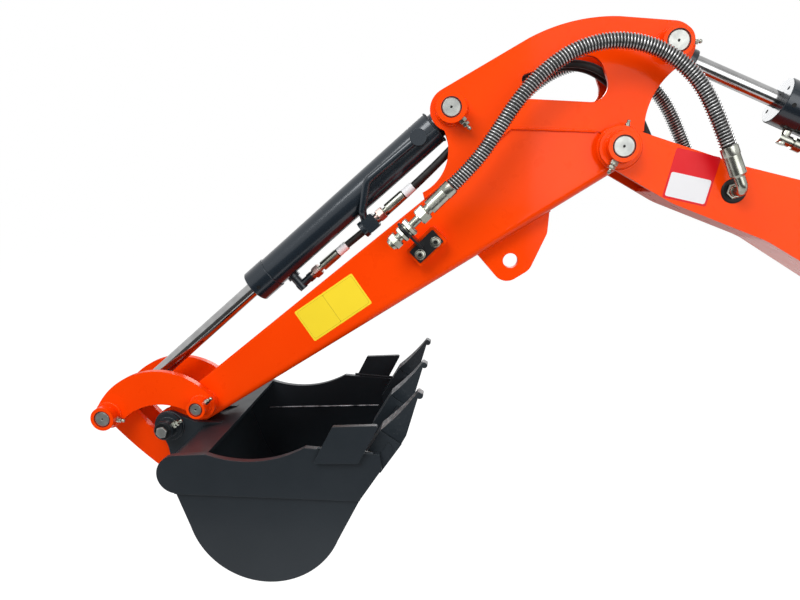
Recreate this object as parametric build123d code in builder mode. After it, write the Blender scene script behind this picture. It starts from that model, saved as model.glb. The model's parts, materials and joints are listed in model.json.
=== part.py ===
"""Digging arm of a mini excavator: boom, dipper, bucket, their linkage and their two cylinders."""
from build123d import *
from math import atan2, cos, degrees, pi, radians, sin, tan
import os

# Overall sizes, in millimetres and degrees. Slopes are measured up from straight ahead.
BOOM_REAR_LENGTH = 1040
BOOM_REAR_SLOPE = 54.8
BOOM_NOSE_LENGTH = 518
BOOM_NOSE_SLOPE = 20.6
DIPPER_LENGTH = 857
DIPPER_SLOPE = -32.5
BUCKET_WIDTH = 372
ROCKER_LENGTH = 163.5
ROCKER_SLOPE = -7.5
TOOTH_COUNT = 3

# Half widths of the layers, measured from the middle of the arm
BOOM_NOSE_HALF = 50
BOOM_REAR_HALF = 64
DIPPER_HALF = 32
GOOSENECK_PROUD = 2
GOOSENECK_HALF = DIPPER_HALF + GOOSENECK_PROUD
LINK_INNER = 19
LINK_OUTER = 30
EAR_INNER = 36
EAR_OUTER = 46
ROCKER_INNER = 43
ROCKER_OUTER = 55

# Plates
BOOM_PLATE = 8
BOOM_SKIN = 6
DIPPER_PLATE = 6
GOOSENECK_PLATE = DIPPER_PLATE + GOOSENECK_PROUD
SHELL_PLATE = 6
BUCKET_SIDE_PLATE = 5
SIDE_BAND_PLATE = 5
SIDE_CUTTER_PLATE = 8
LIP_PLATE = 14

# Pins, and how far each one's bosses stand from the middle
LARGE_PIN = 15
BASE_PIN = 14
LINK_PIN = 12.5
SMALL_PIN = 10
BOOM_PIN_HALF = 80
GOOSENECK_PIN_HALF = 66
ROCKER_PIN_HALF = 78
BUCKET_PIN_HALF = 72

# Clearances
PRESS_GAP = 0.1
RUNNING_GAP = 0.3
SIDE_GAP = 0.5

# Cylinders: outer radius, wall, rod, length from the base pin to the gland's face
BUCKET_BARREL = 26.5
ARM_BARREL = 34
BARREL_WALL = 5
ROD_RADIUS = 12.5
BARREL_LENGTH = 433
GLAND_LENGTH = 40
PISTON_LENGTH = 28

# Auxiliary hoses on the arm's sides, and the bucket cylinder's own hoses between the gooseneck's plates
HOSE_RADIUS = 9.5
HOSE_HALF = 85
FEED_RADIUS = 6
FEED_HALF = 14

# Bores that other machines' parts fit
BOOM_FOOT_BORE = 20
BOOM_FOOT_HALF = 75
BOOM_CYLINDER_BORE = 15
LIFTING_EYE_BORE = 12


def polar(length, slope):
    """A vector in the arm's side view."""
    return Vector(length * cos(radians(slope)), 0, length * sin(radians(slope)))


def side_plane(origin, slope=0):
    """A plane seen from the arm's left side: its x runs along the slope and its normal is -Y."""
    return Plane(origin=origin, x_dir=polar(1, slope), z_dir=(0, -1, 0))


def layer(plane, inner, outer, side=1):
    """The sketch plane of a plate that lies between two distances from the middle."""
    start = outer if side > 0 else -inner
    return plane.offset(-start)


def spot(plane, point):
    """A point of a side plane, as a vector of the whole arm."""
    return plane.from_local_coords(Vector(point[0], point[1], 0))


def flat(plane, point):
    """A point of a side plane, as x and z of the whole arm."""
    place = spot(plane, point)
    return (place.X, place.Z)


def disc(plane, at, radius, inner, outer, side=1, mode=Mode.ADD):
    """A round boss or bore across the arm, between two distances from the middle."""
    with BuildSketch(layer(plane, inner, outer, side)) as face:
        with Locations(at):
            Circle(radius)
    extrude(face.sketch, amount=outer - inner, mode=mode)


def both_discs(plane, at, radius, inner, outer, mode=Mode.ADD):
    """The same boss or bore on the left and on the right."""
    for side in (1, -1):
        disc(plane, at, radius, inner, outer, side, mode)


def through(plane, at, radius, half, mode=Mode.ADD):
    """A round pin, hub or bore that runs right across the arm."""
    disc(plane, at, radius, -half, half, 1, mode)


def slab(sketch, amount, mode=Mode.ADD):
    """Extrude a sketch that was drawn elsewhere."""
    extrude(sketch, amount=amount, mode=mode)


def save(piece, name):
    """Label a finished piece and write it to its own file."""
    piece.part.label = name
    export_step(piece.part, f"parts/{name}.step")


os.makedirs("parts", exist_ok=True)

# Where the pins stand at rest
BOOM = side_plane((0, 0, 0))
BOOM_REAR = side_plane((0, 0, 0), BOOM_REAR_SLOPE)
KNEE = polar(BOOM_REAR_LENGTH, BOOM_REAR_SLOPE)
DIPPER_PIVOT = KNEE + polar(BOOM_NOSE_LENGTH, BOOM_NOSE_SLOPE)
BOOM_NOSE = side_plane(DIPPER_PIVOT, BOOM_NOSE_SLOPE)
DIPPER = side_plane(DIPPER_PIVOT, DIPPER_SLOPE)
BUCKET_PIVOT = DIPPER_PIVOT + polar(DIPPER_LENGTH, DIPPER_SLOPE)
BUCKET = side_plane(BUCKET_PIVOT)

ARM_EYE = (-137.8, 85.9)
BUCKET_CYLINDER_BASE = (179, 183.4)
ROCKER_BACK = 73
ROCKER_AT = (DIPPER_LENGTH - ROCKER_BACK, 2.3)
LINK_ON_BUCKET = (-14, -89)
ARM_CYLINDER_BASE = (BOOM_REAR_LENGTH - 23, 172.5)
BOOM_CYLINDER_EYE = (BOOM_REAR_LENGTH - 260, -128)

ROCKER_PIVOT = spot(DIPPER, ROCKER_AT)
ROCKER = side_plane(ROCKER_PIVOT, ROCKER_SLOPE)
ROD_PIN = ROCKER_PIVOT + polar(ROCKER_LENGTH, ROCKER_SLOPE)
LINK_PIVOT = spot(BUCKET, LINK_ON_BUCKET)


def slope_of(start, end):
    """The slope of the line between two pins."""
    run = end - start
    return degrees(atan2(run.Z, run.X))


LINK = side_plane(LINK_PIVOT, slope_of(LINK_PIVOT, ROD_PIN))
LINK_LENGTH = (ROD_PIN - LINK_PIVOT).length
BUCKET_BASE_PIN = spot(DIPPER, BUCKET_CYLINDER_BASE)
BUCKET_CYLINDER = side_plane(BUCKET_BASE_PIN, slope_of(BUCKET_BASE_PIN, ROD_PIN))
BUCKET_CYLINDER_REACH = (ROD_PIN - BUCKET_BASE_PIN).length
ARM_BASE_PIN = spot(BOOM_REAR, ARM_CYLINDER_BASE)
ARM_EYE_PIN = spot(DIPPER, ARM_EYE)
ARM_CYLINDER = side_plane(ARM_BASE_PIN, slope_of(ARM_BASE_PIN, ARM_EYE_PIN))
ARM_CYLINDER_REACH = (ARM_EYE_PIN - ARM_BASE_PIN).length

# Boom: its outline in the side view
NOSE_RADIUS = 31
FOOT_RADIUS = 52
BOOM_OUTLINE = [
    flat(BOOM_NOSE, (0, NOSE_RADIUS)),
    flat(BOOM_NOSE, (-180, 38)),
    flat(BOOM_NOSE, (-470, 72)),
    flat(BOOM_REAR, (BOOM_REAR_LENGTH - 80, 92)),
    flat(BOOM_REAR, (0, FOOT_RADIUS)),
    flat(BOOM_REAR, (0, -FOOT_RADIUS)),
    flat(BOOM_REAR, (BOOM_REAR_LENGTH - 80, -88)),
    flat(BOOM_NOSE, (-470, -90)),
    flat(BOOM_NOSE, (-257, -50)),
    flat(BOOM_NOSE, (-106, -48)),
    flat(BOOM_NOSE, (0, -NOSE_RADIUS)),
]
BOOM_CORNERS = [5, 200, 160, 160, 5, 5, 90, 90, 120, 120, 5]

with BuildSketch(layer(BOOM, -100, 100)) as boom_profile:
    with BuildLine():
        FilletPolyline(*BOOM_OUTLINE, radius=BOOM_CORNERS, close=True)
    make_face()
    with Locations(flat(BOOM, (0, 0))):
        Circle(FOOT_RADIUS)
    with Locations(flat(BOOM_NOSE, (0, 0))):
        Circle(NOSE_RADIUS)

# The sides are folded outwards along a crease that runs across the boom's side
BOSS_WALL = 7.5
COLLAR_RADIUS = 31
HOSE_HOLE = (-181, 0)
HOSE_HOLE_RADIUS = 13
CREASE_SLOPE = 145
CREASE_AT = spot(BOOM_NOSE, (-263, -13))
FLARE_LENGTH = 140
PLAN = Plane(origin=CREASE_AT, x_dir=polar(1, CREASE_SLOPE + 90), z_dir=polar(1, CREASE_SLOPE))
PLAN_REACH = 1500


def plan_line(inset):
    """Half the boom's width from nose to foot, as seen along the crease."""
    return [
        (-PLAN_REACH, BOOM_NOSE_HALF - inset),
        (0, BOOM_NOSE_HALF - inset),
        (FLARE_LENGTH, BOOM_REAR_HALF - inset),
        (PLAN_REACH, BOOM_REAR_HALF - inset),
    ]


with BuildSketch(PLAN) as plan_between:
    with BuildLine():
        Polyline(*plan_line(BOOM_PLATE), *[(x, -y) for x, y in reversed(plan_line(BOOM_PLATE))], close=True)
    make_face()

for side, name in ((-1, "boom_side_left"), (1, "boom_side_right")):
    with BuildSketch(PLAN) as plan_band:
        with BuildLine():
            outer_line = [(x, side * y) for x, y in plan_line(0)]
            inner_line = [(x, side * y) for x, y in reversed(plan_line(BOOM_PLATE))]
            Polyline(*outer_line, *inner_line, close=True)
        make_face()
    with BuildPart() as boom_side:
        slab(boom_profile.sketch, 200)
        extrude(plan_band.sketch, amount=PLAN_REACH, both=True, mode=Mode.INTERSECT)
        through(BOOM, (0, 0), BOOM_FOOT_BORE + 15, 100, Mode.SUBTRACT)
        with BuildSketch(layer(BOOM_NOSE, -100, 100)) as hose_hole:
            with Locations(HOSE_HOLE):
                Circle(HOSE_HOLE_RADIUS)
        slab(hose_hole.sketch, 200, Mode.SUBTRACT)
        disc(BOOM_NOSE, (0, 0), COLLAR_RADIUS, BOOM_NOSE_HALF, BOOM_NOSE_HALF + 10, -side)
        disc(BOOM_NOSE, (0, 0), LARGE_PIN + BOSS_WALL, BOOM_NOSE_HALF + 10, BOOM_PIN_HALF, -side)
        through(BOOM_NOSE, (0, 0), LARGE_PIN + PRESS_GAP, 100, Mode.SUBTRACT)
    save(boom_side, name)

BOOM_TOP_FRONT = -76
BOOM_BOTTOM_FRONT = -73
SKIN_END = 48
for name, sign, front in (
    ("boom_top_plate", 1, BOOM_TOP_FRONT),
    ("boom_bottom_plate", -1, BOOM_BOTTOM_FRONT),
):
    with BuildSketch(layer(BOOM, -100, 100)) as boom_ring:
        add(boom_profile.sketch_local)
        offset(amount=-BOOM_SKIN, mode=Mode.SUBTRACT)
    with BuildSketch(layer(BOOM, -100, 100)) as boom_half:
        with BuildLine():
            Polyline(
                flat(BOOM_NOSE, (front, 0)),
                flat(BOOM_NOSE, (front, sign * 150)),
                flat(BOOM_NOSE, (-470, sign * 300)),
                flat(BOOM_REAR, (BOOM_REAR_LENGTH - 80, sign * 300)),
                flat(BOOM_REAR, (SKIN_END, sign * 200)),
                flat(BOOM_REAR, (SKIN_END, 0)),
                (KNEE.X, KNEE.Z),
                close=True,
            )
        make_face()
    with BuildPart() as boom_skin:
        slab(boom_ring.sketch, 200)
        slab(boom_half.sketch, 200, Mode.INTERSECT)
        extrude(plan_between.sketch, amount=PLAN_REACH, both=True, mode=Mode.INTERSECT)
    save(boom_skin, name)

# Boom: the tube at its foot, the bosses at its nose, and the two cylinders' brackets
with BuildPart() as boom_foot_tube:
    through(BOOM, (0, 0), BOOM_FOOT_BORE + 15 - PRESS_GAP, BOOM_FOOT_HALF)
    through(BOOM, (0, 0), BOOM_FOOT_BORE, BOOM_FOOT_HALF, Mode.SUBTRACT)
    chamfer(boom_foot_tube.edges().filter_by(GeomType.CIRCLE), 1.5)
save(boom_foot_tube, "boom_foot_tube")

ARM_BASE_HALF = ARM_BARREL + 6
BRACKET_PLATE = 10
with BuildSketch(layer(BOOM_REAR, ARM_BASE_HALF, ARM_BASE_HALF + BRACKET_PLATE)) as arm_bracket_face:
    with Locations(ARM_CYLINDER_BASE):
        Circle(27)
    with BuildLine():
        Polyline(
            (ARM_CYLINDER_BASE[0] - 95, 60),
            (ARM_CYLINDER_BASE[0] - 24, ARM_CYLINDER_BASE[1] + 12),
            (ARM_CYLINDER_BASE[0] + 20, ARM_CYLINDER_BASE[1] + 18),
            (ARM_CYLINDER_BASE[0] + 60, 60),
            close=True,
        )
    make_face()
with BuildPart() as arm_cylinder_bracket:
    slab(arm_bracket_face.sketch, BRACKET_PLATE)
    mirror(about=Plane.XZ)
    slab(boom_profile.sketch, 200, Mode.SUBTRACT)
    both_discs(BOOM_REAR, ARM_CYLINDER_BASE, LARGE_PIN + BOSS_WALL, ARM_BASE_HALF, ARM_BASE_HALF + 16)
    through(BOOM_REAR, ARM_CYLINDER_BASE, LARGE_PIN + PRESS_GAP, 100, Mode.SUBTRACT)
save(arm_cylinder_bracket, "arm_cylinder_bracket")

with BuildPart() as boom_pins:
    through(BOOM_NOSE, (0, 0), LARGE_PIN, BOOM_PIN_HALF - 2)
    through(BOOM_REAR, ARM_CYLINDER_BASE, LARGE_PIN, ARM_BASE_HALF + 14)
    chamfer(boom_pins.edges().filter_by(GeomType.CIRCLE), 1)
save(boom_pins, "boom_pins")

BOOM_EYE_HALF = 24
with BuildSketch(layer(BOOM_REAR, BOOM_EYE_HALF, BOOM_EYE_HALF + BRACKET_PLATE)) as boom_bracket_face:
    with Locations(BOOM_CYLINDER_EYE):
        Circle(28)
    with BuildLine():
        Polyline(
            (BOOM_CYLINDER_EYE[0] - 90, -60),
            (BOOM_CYLINDER_EYE[0] - 20, BOOM_CYLINDER_EYE[1] - 19),
            (BOOM_CYLINDER_EYE[0] + 20, BOOM_CYLINDER_EYE[1] - 19),
            (BOOM_CYLINDER_EYE[0] + 90, -60),
            close=True,
        )
    make_face()
with BuildPart() as boom_cylinder_bracket:
    slab(boom_bracket_face.sketch, BRACKET_PLATE)
    mirror(about=Plane.XZ)
    slab(boom_profile.sketch, 200, Mode.SUBTRACT)
    through(BOOM_REAR, BOOM_CYLINDER_EYE, BOOM_CYLINDER_BORE, 100, Mode.SUBTRACT)
save(boom_cylinder_bracket, "boom_cylinder_bracket")

# Dipper: a folded channel, open at the top, whose sides follow this outline
TAPER = -0.1123
TAPER_AT_PIVOT = 123.1
HEEL = (118, TAPER_AT_PIVOT + TAPER * 118)
HEEL_FOOT = (10, 35)
DIPPER_BELOW = 30
HUB_RADIUS = 32
NOSE_TIP_RADIUS = 27
CHANNEL_BEND = 12

with BuildSketch(layer(DIPPER, -100, 100)) as channel_profile:
    with BuildLine():
        Polyline(
            (0, -DIPPER_BELOW),
            (DIPPER_LENGTH, -NOSE_TIP_RADIUS),
            (DIPPER_LENGTH + 14, 23),
            (ROCKER_AT[0] + 6, TAPER_AT_PIVOT + TAPER * (ROCKER_AT[0] + 6)),
            HEEL,
            HEEL_FOOT,
            close=True,
        )
    make_face()
    Circle(HUB_RADIUS)
    with Locations((DIPPER_LENGTH, 0)):
        Circle(NOSE_TIP_RADIUS)

CHANNEL_END = Plane(
    origin=spot(DIPPER, (-60, 0)),
    x_dir=(0, 1, 0),
    z_dir=polar(1, DIPPER_SLOPE),
)
CHANNEL_TALL = 260
with BuildSketch(CHANNEL_END) as channel_section:
    with Locations((0, CHANNEL_TALL / 2 - DIPPER_BELOW)):
        Rectangle(2 * DIPPER_HALF, CHANNEL_TALL)
    fillet(channel_section.vertices().group_by(Axis.Y)[0], CHANNEL_BEND)
    offset(amount=-DIPPER_PLATE, mode=Mode.SUBTRACT)

PIVOT_HUB = 25
NOSE_HUB = 19
with BuildPart() as dipper_channel:
    slab(channel_section.sketch, DIPPER_LENGTH + 120)
    slab(channel_profile.sketch, 200, Mode.INTERSECT)
    through(DIPPER, (0, 0), PIVOT_HUB + PRESS_GAP, 60, Mode.SUBTRACT)
    through(DIPPER, ROCKER_AT, NOSE_HUB + PRESS_GAP, 60, Mode.SUBTRACT)
    through(DIPPER, (DIPPER_LENGTH, 0), NOSE_HUB + PRESS_GAP, 60, Mode.SUBTRACT)
save(dipper_channel, "dipper_channel")

COVER_FRONT = ROCKER_AT[0] - 30
with BuildSketch(layer(DIPPER, -DIPPER_HALF + DIPPER_PLATE, DIPPER_HALF - DIPPER_PLATE)) as cover_face:
    with BuildLine():
        Polyline(
            (COVER_FRONT, TAPER_AT_PIVOT + TAPER * COVER_FRONT),
            HEEL,
            (HEEL_FOOT[0] + 25, HEEL_FOOT[1] + 25 * 0.694),
            (HEEL_FOOT[0] + 29, HEEL_FOOT[1] + 25 * 0.694 - DIPPER_PLATE),
            (HEEL[0] + 3, HEEL[1] - DIPPER_PLATE - 1),
            (COVER_FRONT, TAPER_AT_PIVOT + TAPER * COVER_FRONT - DIPPER_PLATE),
            close=True,
        )
    make_face()
with BuildPart() as dipper_cover:
    slab(cover_face.sketch, 2 * (DIPPER_HALF - DIPPER_PLATE))
save(dipper_cover, "dipper_cover")

with BuildPart() as dipper_hubs:
    through(DIPPER, (0, 0), PIVOT_HUB, BOOM_NOSE_HALF - BOOM_PLATE - RUNNING_GAP)
    through(DIPPER, (0, 0), LARGE_PIN + RUNNING_GAP, 60, Mode.SUBTRACT)
    through(DIPPER, ROCKER_AT, NOSE_HUB, ROCKER_INNER - SIDE_GAP)
    through(DIPPER, ROCKER_AT, SMALL_PIN + RUNNING_GAP, 60, Mode.SUBTRACT)
    through(DIPPER, (DIPPER_LENGTH, 0), NOSE_HUB, EAR_INNER - RUNNING_GAP)
    through(DIPPER, (DIPPER_LENGTH, 0), SMALL_PIN + RUNNING_GAP, 60, Mode.SUBTRACT)
save(dipper_hubs, "dipper_hubs")

# Gooseneck: two plates on the channel's top that carry both cylinders' eyes
ARM_CORNER = 34
BASE_CORNER = 33
with BuildSketch(layer(DIPPER, GOOSENECK_HALF - GOOSENECK_PLATE, GOOSENECK_HALF)) as gooseneck_face:
    with BuildLine():
        Line((176, 216.4), (30, 208))
        ThreePointArc((30, 208), (-36.5, 192.7), (-95, 162))
        Line((-95, 162), (-159.7, 111.9))
        Line((-159.7, 111.9), (-146, 54))
        ThreePointArc((-146, 54), (-93.8, 44.2), (-46, 0))
        Line((-46, 0), (0, 0))
        Line((0, 0), HEEL_FOOT)
        Line(HEEL_FOOT, HEEL)
        Line(HEEL, (286, TAPER_AT_PIVOT + TAPER * 286))
        Line((286, TAPER_AT_PIVOT + TAPER * 286), (283, 101))
        ThreePointArc((283, 101), (228, 119), (205, 163))
        Line((205, 163), (176, 216.4))
    make_face()
    with Locations(BUCKET_CYLINDER_BASE):
        Circle(BASE_CORNER)
    with Locations(ARM_EYE):
        Circle(ARM_CORNER)
    with BuildLine():
        FilletPolyline((67, 169), (-46, 136), (-30, 58), (75, 134.2), radius=[8, 26, 24, 3], close=True)
    make_face(mode=Mode.SUBTRACT)
for side, name in ((1, "gooseneck_left"), (-1, "gooseneck_right")):
    with BuildPart() as gooseneck:
        slab(gooseneck_face.sketch, GOOSENECK_PLATE)
        slab(channel_profile.sketch, 200, Mode.SUBTRACT)
        disc(DIPPER, ARM_EYE, LARGE_PIN + BOSS_WALL - 0.5, GOOSENECK_HALF, GOOSENECK_PIN_HALF)
        disc(DIPPER, BUCKET_CYLINDER_BASE, BASE_PIN + BOSS_WALL + 1.5, GOOSENECK_HALF, GOOSENECK_PIN_HALF)
        through(DIPPER, ARM_EYE, LARGE_PIN + PRESS_GAP, 100, Mode.SUBTRACT)
        through(DIPPER, BUCKET_CYLINDER_BASE, BASE_PIN + PRESS_GAP, 100, Mode.SUBTRACT)
        if side < 0:
            mirror(about=Plane.XZ, mode=Mode.REPLACE)
    save(gooseneck, name)

GOOSENECK_GAP = GOOSENECK_HALF - GOOSENECK_PLATE
with BuildPart() as gooseneck_pins:
    both_discs(DIPPER, ARM_EYE, LARGE_PIN, GOOSENECK_GAP, GOOSENECK_PIN_HALF - 2)
    through(DIPPER, BUCKET_CYLINDER_BASE, BASE_PIN, GOOSENECK_PIN_HALF - 2)
save(gooseneck_pins, "gooseneck_pins")

LUG_AT = (222, -67)
LUG_HALF = 8
with BuildSketch(layer(DIPPER, -LUG_HALF, LUG_HALF)) as lug_face:
    with BuildLine():
        FilletPolyline(
            (128, -DIPPER_BELOW),
            (150, -60),
            (204, -96),
            (252, -96),
            (262, -DIPPER_BELOW),
            radius=[18, 27, 24],
        )
        Line((262, -DIPPER_BELOW), (128, -DIPPER_BELOW))
    make_face()
    with Locations(LUG_AT):
        Circle(LIFTING_EYE_BORE, mode=Mode.SUBTRACT)
with BuildPart() as lifting_lug:
    slab(lug_face.sketch, 2 * LUG_HALF)
    slab(channel_profile.sketch, 200, Mode.SUBTRACT)
save(lifting_lug, "lifting_lug")

# Rocker: two arched plates from the dipper's nose to the rod's pin
ROCKER_END = 24
with BuildSketch(layer(ROCKER, ROCKER_INNER, ROCKER_OUTER)) as rocker_face:
    with BuildLine():
        ThreePointArc((-16, 18), (80, 67), (ROCKER_LENGTH + 16.5, 17))
        Line((ROCKER_LENGTH + 16.5, 17), (ROCKER_LENGTH - 17.5, -16))
        ThreePointArc((ROCKER_LENGTH - 17.5, -16), (91, 8.2), (20, -12))
        Line((20, -12), (-16, 18))
    make_face()
    Circle(ROCKER_END)
    with Locations((ROCKER_LENGTH, 0)):
        Circle(ROCKER_END)
for side, name in ((1, "rocker_left"), (-1, "rocker_right")):
    with BuildPart() as rocker:
        slab(rocker_face.sketch, ROCKER_OUTER - ROCKER_INNER)
        disc(ROCKER, (0, 0), SMALL_PIN + 6, ROCKER_OUTER, ROCKER_PIN_HALF)
        disc(ROCKER, (ROCKER_LENGTH, 0), LINK_PIN + BOSS_WALL, ROCKER_OUTER, ROCKER_PIN_HALF)
        disc(ROCKER, (ROCKER_LENGTH, 0), LINK_PIN + BOSS_WALL, LINK_OUTER + 2.3, ROCKER_INNER)
        disc(ROCKER, (0, 0), SMALL_PIN + PRESS_GAP, 0, 100, 1, Mode.SUBTRACT)
        disc(ROCKER, (ROCKER_LENGTH, 0), LINK_PIN + PRESS_GAP, 0, 100, 1, Mode.SUBTRACT)
        if side < 0:
            mirror(about=Plane.XZ, mode=Mode.REPLACE)
    save(rocker, name)

with BuildPart() as rocker_pins:
    through(ROCKER, (0, 0), SMALL_PIN, ROCKER_PIN_HALF - 2)
    both_discs(ROCKER, (ROCKER_LENGTH, 0), LINK_PIN, LINK_OUTER + 2.3, ROCKER_PIN_HALF - 2)
save(rocker_pins, "rocker_pins")

# Bucket link: two bowed plates joined by the tube that turns between the bucket's ears
LINK_TUBE = 20
LINK_END = 25
with BuildSketch(layer(LINK, LINK_INNER, LINK_OUTER)) as link_face:
    with BuildLine():
        ThreePointArc((-4, -19), (LINK_LENGTH / 2, -27), (LINK_LENGTH + 3, -LINK_END))
        Line((LINK_LENGTH + 3, -LINK_END), (LINK_LENGTH - 3, LINK_END))
        ThreePointArc((LINK_LENGTH - 3, LINK_END), (LINK_LENGTH / 2, 19), (-2, 19))
        Line((-2, 19), (-4, -19))
    make_face()
    Circle(LINK_TUBE)
    with Locations((LINK_LENGTH, 0)):
        Circle(LINK_END)
with BuildPart() as bucket_link:
    slab(link_face.sketch, LINK_OUTER - LINK_INNER)
    mirror(about=Plane.XZ)
    through(LINK, (0, 0), LINK_TUBE, EAR_INNER - SIDE_GAP)
    through(LINK, (0, 0), LINK_PIN + PRESS_GAP, 60, Mode.SUBTRACT)
    through(LINK, (LINK_LENGTH, 0), LINK_PIN + PRESS_GAP, 60, Mode.SUBTRACT)
save(bucket_link, "bucket_link")

with BuildPart() as link_pins:
    through(LINK, (0, 0), LINK_PIN, EAR_INNER - RUNNING_GAP)
    both_discs(LINK, (LINK_LENGTH, 0), LINK_PIN, LINK_INNER - 1, LINK_OUTER + 1.9)
save(link_pins, "link_pins")

# Bucket: its outline in the side view, measured from its pivot
LOBE_AT = (-70, -21)
LOBE_RADIUS = 30
LOBE_INSET = 7
LIP_AT = (-380, -1)
LIP_SLOPE = 123.4
LIP_BACK = -60
MOUTH_BACK = (-118, 13)
SIDE_HALF = BUCKET_WIDTH / 2
SHELL_HALF = SIDE_HALF - SIDE_BAND_PLATE - BUCKET_SIDE_PLATE

LIP = side_plane(spot(BUCKET, LIP_AT), LIP_SLOPE)


def bucket_section(lobe_radius):
    """Draw the bucket's side view, with a round lobe of this radius below its pivot."""
    top = LOBE_AT[1] + lobe_radius
    with BuildSketch(layer(BUCKET, -SHELL_HALF, SHELL_HALF)) as section:
        with BuildLine():
            Line((-66, top), MOUTH_BACK)
            ThreePointArc(MOUTH_BACK, (-182, 4), (-267, 28.5))
            Polyline((-267, 28.5), (-377, 22), LIP_AT, (-349, -48), (-313, -119))
            ThreePointArc((-313, -119), (-205, -193.5), (-86.5, -107))
            Polyline((-86.5, -107), (-66, -52), (-66, top))
        make_face()
        with Locations(LOBE_AT):
            Circle(lobe_radius)
    return section


bucket_profile = bucket_section(LOBE_RADIUS)
shell_profile = bucket_section(LOBE_RADIUS - LOBE_INSET)

with BuildPart() as bucket_shell:
    slab(shell_profile.sketch, 2 * SHELL_HALF)
    with BuildSketch(layer(BUCKET, -SHELL_HALF, SHELL_HALF)) as bucket_inside:
        add(shell_profile.sketch_local)
        offset(amount=-SHELL_PLATE, mode=Mode.REPLACE)
    slab(bucket_inside.sketch, 2 * SHELL_HALF, Mode.SUBTRACT)
    with BuildSketch(layer(BUCKET, -SHELL_HALF, SHELL_HALF)) as mouth:
        with BuildLine():
            Polyline(MOUTH_BACK, (-110, 60), (-420, 60), (-360, -30), (MOUTH_BACK[0], -22), close=True)
        make_face()
    slab(mouth.sketch, 2 * SHELL_HALF, Mode.SUBTRACT)
    with BuildSketch(layer(LIP, -SHELL_HALF, SHELL_HALF)) as lip_seat:
        with Locations((LIP_BACK, -20)):
            Rectangle(120, 60, align=(Align.MIN, Align.CENTER))
    slab(lip_seat.sketch, 2 * SHELL_HALF, Mode.SUBTRACT)
save(bucket_shell, "bucket_shell")

BAND_BELOW = -52
with BuildSketch(layer(BUCKET, 0, 0)) as band_zone:
    with Locations((-220, BAND_BELOW + 60)):
        Rectangle(420, 120)
for side, name in ((1, "bucket_side_left"), (-1, "bucket_side_right")):
    with BuildPart() as bucket_side:
        with BuildSketch(layer(BUCKET, SHELL_HALF, SHELL_HALF + BUCKET_SIDE_PLATE)) as side_face:
            add(bucket_profile.sketch_local)
        slab(side_face.sketch, BUCKET_SIDE_PLATE)
        with BuildSketch(layer(BUCKET, SIDE_HALF - SIDE_BAND_PLATE, SIDE_HALF)) as band_face:
            add(bucket_profile.sketch_local)
            add(band_zone.sketch_local, mode=Mode.INTERSECT)
        slab(band_face.sketch, SIDE_BAND_PLATE)
        if side < 0:
            mirror(about=Plane.XZ, mode=Mode.REPLACE)
    save(bucket_side, name)

with BuildSketch(layer(BUCKET, SIDE_HALF, SIDE_HALF + SIDE_CUTTER_PLATE)) as cutter_face:
    with BuildLine():
        FilletPolyline((-310, 65.2), (-377.3, 69.2), (-346.8, 10.5), (-280.8, 8), radius=3, close=True)
    make_face()
with BuildPart() as side_cutters:
    slab(cutter_face.sketch, SIDE_CUTTER_PLATE)
    mirror(about=Plane.XZ)
save(side_cutters, "side_cutters")

TOOTH_SEAT = 45.5
ADAPTER_WEB = 9
LIP_FRONT = TOOTH_SEAT - ADAPTER_WEB - SIDE_GAP
LIP_BEVEL = 8
with BuildSketch(layer(LIP, -SHELL_HALF, SHELL_HALF)) as lip_face:
    with BuildLine():
        Polyline(
            (LIP_BACK, 0),
            (LIP_FRONT - LIP_BEVEL, 0),
            (LIP_FRONT, -LIP_BEVEL),
            (LIP_FRONT, -LIP_PLATE),
            (LIP_BACK, -LIP_PLATE),
            close=True,
        )
    make_face()
with BuildPart() as cutting_edge:
    slab(lip_face.sketch, 2 * SHELL_HALF)
save(cutting_edge, "cutting_edge")

# Teeth: wedges that narrow in both views, each on an adapter that grips the lip from both sides
TOOTH_HALF = 17
TOOTH_TIP = 123
TOOTH_TIP_HALF = 9
ADAPTER_HALF = 18.5
TOOTH_SPREAD = SHELL_HALF - ADAPTER_HALF - SIDE_GAP
with BuildSketch(layer(LIP, -TOOTH_HALF, TOOTH_HALF)) as tooth_face:
    with BuildLine():
        Line((TOOTH_SEAT, 3.5), (60, 2.3))
        Line((60, 2.3), (TOOTH_TIP - 9, -14.2))
        ThreePointArc((TOOTH_TIP - 9, -14.2), (TOOTH_TIP, -18), (TOOTH_TIP - 5, -19.5))
        ThreePointArc((TOOTH_TIP - 5, -19.5), (80, -24.5), (TOOTH_SEAT, -33))
        Line((TOOTH_SEAT, -33), (TOOTH_SEAT, 3.5))
    make_face()
with BuildSketch(Plane(origin=LIP.origin, x_dir=LIP.x_dir, z_dir=LIP.y_dir)) as tooth_plan:
    with BuildLine():
        Polyline(
            (TOOTH_SEAT, TOOTH_HALF),
            (TOOTH_SEAT + 12, TOOTH_HALF),
            (TOOTH_TIP, TOOTH_TIP_HALF),
            (TOOTH_TIP, -TOOTH_TIP_HALF),
            (TOOTH_SEAT + 12, -TOOTH_HALF),
            (TOOTH_SEAT, -TOOTH_HALF),
            close=True,
        )
    make_face()
with BuildPart() as one_tooth:
    slab(tooth_face.sketch, 2 * TOOTH_HALF)
    extrude(tooth_plan.sketch, amount=100, both=True, mode=Mode.INTERSECT)
with BuildSketch(layer(LIP, -ADAPTER_HALF, ADAPTER_HALF)) as adapter_face:
    with BuildLine():
        Polyline(
            (-10, 3),
            (TOOTH_SEAT - SIDE_GAP, 4),
            (TOOTH_SEAT - SIDE_GAP, -33),
            (-18, -30),
            (-34, -LIP_PLATE),
            (TOOTH_SEAT - ADAPTER_WEB, -LIP_PLATE),
            (TOOTH_SEAT - ADAPTER_WEB, -LIP_BEVEL),
            (LIP_FRONT - LIP_BEVEL, 0),
            (-10, 0),
            close=True,
        )
    make_face()
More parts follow.
